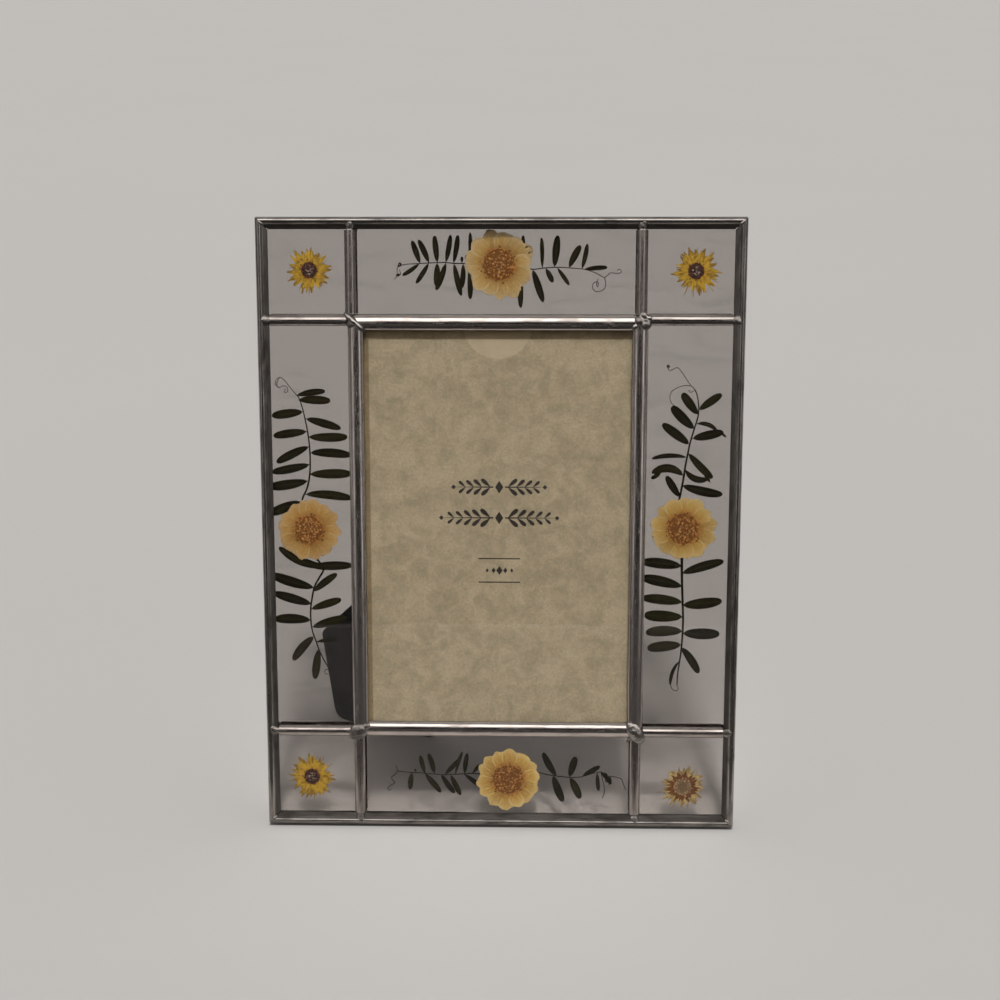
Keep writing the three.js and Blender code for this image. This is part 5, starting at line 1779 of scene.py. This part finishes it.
class PRESSED_OT_daisies(bpy.types.Operator):
    """Make the four broad-petalled flowers"""
    bl_idname = "pressed.daisies"
    bl_label = "Daisies"

    def execute(self, context):
        settings = context.scene.pressed_plant
        tree = floret_maker()
        rust = floret_finish("Rust florets", *FLORET_COLOURS["Rust florets"])
        for name, flower in DAISIES.items():
            rng = random.Random("daisy " + name)
            petals = Shells()
            for i in range(2 * flower["petals"]):
                lean = rng.uniform(-0.1, 0.1) + math.radians(flower["turn"])
                behind = i % 2
                layer = 0.08 if behind else rng.choice((-0.05, 0.02))
                angle = math.pi * i / flower["petals"] + lean
                daisy_petal(petals, flower, angle, layer, 0.95 if behind else 1.01, rng)
            material = petal_finish(f"Petals {name}", *DAISY_COLOURS[name])
            blades = link("blades", petals.mesh("blades", material))
            disc = floret_disc(tree, flower["at"], DISC_MIDDLE, {
                "Count": settings.florets, "Radius": flower["disc"] * MM, "Floret": settings.floret,
                "Rise": 0.14 * MM, "Fringe": 0.17, "Seed": rng.randrange(1000),
            }, rust)
            piece = joined(f"pressed_daisy_{name}", [blades, disc])
            settle(piece, "frame", "petal", f"flower_{name}")
        return {"FINISHED"}


class PRESSED_OT_small_flowers(bpy.types.Operator):
    """Make the four small ragged flowers in the corners"""
    bl_idname = "pressed.small_flowers"
    bl_label = "Small flowers"

    def execute(self, context):
        tree = bpy.data.node_groups["Floret disc"]
        petal_looks = {name: ragged_petal_finish(name, *look) for name, look in RAGGED_COLOURS.items()}
        disc_looks = {name: floret_finish(name, *FLORET_COLOURS[name])
                      for name in ("Maroon florets", "Faded florets")}
        for name, flower in SMALL_FLOWERS.items():
            rng = random.Random("small " + name)
            is_faded = name == "bottom_right"
            eye = flower["eye"]
            petals = Shells()
            for times, *look in RAGGED_ROUNDS:
                ragged_round(petals, flower, eye * 0.7, times * flower["petals"], *look, rng)
            look = petal_looks["Tan petals" if is_faded else "Yellow petals"]
            pieces = [link("blades", petals.mesh("blades", look))]
            if is_faded:
                collar = Shells()
                ragged_round(collar, flower, eye * 0.8, *COLLAR, rng)
                pieces.append(link("collar", collar.mesh("collar", petal_looks["Burnt petals"])))
            pieces.append(floret_disc(tree, flower["at"], DISC_MIDDLE - 0.02, {
                "Count": 80, "Radius": eye * MM, "Floret": 0.62 * MM,
                "Rise": 0.13 * MM, "Fringe": 0.2, "Seed": rng.randrange(1000),
            }, disc_looks["Faded florets" if is_faded else "Maroon florets"]))
            piece = joined(f"pressed_flower_{name}", pieces)
            settle(piece, "frame", "petal", f"flower_{name}")
        return {"FINISHED"}


class PRESSED_OT_sprigs(bpy.types.Operator):
    """Make the eight leafy sprigs with their tendrils"""
    bl_idname = "pressed.sprigs"
    bl_label = "Sprigs"

    def execute(self, context):
        material = leaf_finish(context.scene.pressed_plant)
        tree = thread_maker()
        for name, sprig in SPRIGS.items():
            make_sprig(name, sprig, tree, material)
        return {"FINISHED"}


class PRESSED_OT_board(bpy.types.Operator):
    """Finish the backing board, the easel leg and the retaining tabs"""
    bl_idname = "pressed.board"
    bl_label = "Board and leg"

    def execute(self, context):
        settings = context.scene.pressed_board
        paper = board_finish(settings)
        bright, tarnish = (0.58, 0.57, 0.55, 1), (0.26, 0.24, 0.22, 1)
        steel = bare_metal_finish("Plated steel", bright, tarnish, 0.35, 0.6, 0.02 * MM)
        edge = settings.edge / MM
        soften("backing_board", "frame", "board", edge, paper)
        soften("easel_leg", "easel_leg", "board", edge * 1.3, paper)
        for name in [name for name in frame["nodes"] if name.startswith("tab_")]:
            soften(name, "frame", "steel", 0.14, steel)
        return {"FINISHED"}


class PRESSED_OT_hinge(bpy.types.Operator):
    """Finish the hinge and add its rivets"""
    bl_idname = "pressed.hinge"
    bl_label = "Hinge"

    def execute(self, context):
        settings = context.scene.pressed_board
        steel = bpy.data.materials["Plated steel"]
        soften("hinge_leaf_board", "frame", "steel", 0.12, steel)
        soften("hinge_leaf_leg", "easel_leg", "steel", 0.12, steel)
        soften("hinge_pin", "frame", "steel", 0.15, steel)
        tree = rivet_maker()
        swung = HINGE @ Matrix.Rotation(LEG_OPEN, 4, "X")
        make_rivets("board", tree, 1, HINGE, "frame", steel, settings)
        make_rivets("leg", tree, -1, swung, "easel_leg", steel, settings)
        return {"FINISHED"}


OPERATORS = (
    PRESSED_OT_stage, PRESSED_OT_glass, PRESSED_OT_cames, PRESSED_OT_solder, PRESSED_OT_card,
    PRESSED_OT_daisies, PRESSED_OT_small_flowers, PRESSED_OT_sprigs, PRESSED_OT_board, PRESSED_OT_hinge,
)
SETTINGS = {
    "pressed_came": CameSettings, "pressed_glass": GlassSettings, "pressed_card": CardSettings,
    "pressed_plant": PlantSettings, "pressed_board": BoardSettings, "pressed_stage": StageSettings,
}


class PRESSED_PT_panel(bpy.types.Panel):
    """Lists the steps and the settings of the frame"""
    bl_label = "Pressed Frame"
    bl_idname = "PRESSED_PT_panel"
    bl_space_type = "VIEW_3D"
    bl_region_type = "UI"
    bl_category = "Pressed Frame"

    def draw(self, context):
        for operator in OPERATORS:
            self.layout.operator(operator.bl_idname)
        for name, group in SETTINGS.items():
            box = self.layout.box()
            for setting in group.__annotations__:
                box.prop(getattr(context.scene, name), setting)


def register():
    """Registers the settings, the steps and the panel."""
    for made in (*SETTINGS.values(), *OPERATORS, PRESSED_PT_panel):
        bpy.utils.register_class(made)
    for name, group in SETTINGS.items():
        setattr(bpy.types.Scene, name, PointerProperty(type=group))


def unregister():
    """Takes them away again."""
    for name in SETTINGS:
        delattr(bpy.types.Scene, name)
    for made in reversed((*SETTINGS.values(), *OPERATORS, PRESSED_PT_panel)):
        bpy.utils.unregister_class(made)


def main():
    """Makes every piece, in the order of the panel."""
    register()
    bpy.ops.pressed.stage()
    bpy.ops.pressed.glass()
    bpy.ops.pressed.cames()
    bpy.ops.pressed.solder()
    bpy.ops.pressed.card()
    bpy.ops.pressed.daisies()
    bpy.ops.pressed.small_flowers()
    bpy.ops.pressed.sprigs()
    bpy.ops.pressed.board()
    bpy.ops.pressed.hinge()


if __name__ == "__main__":
    main()
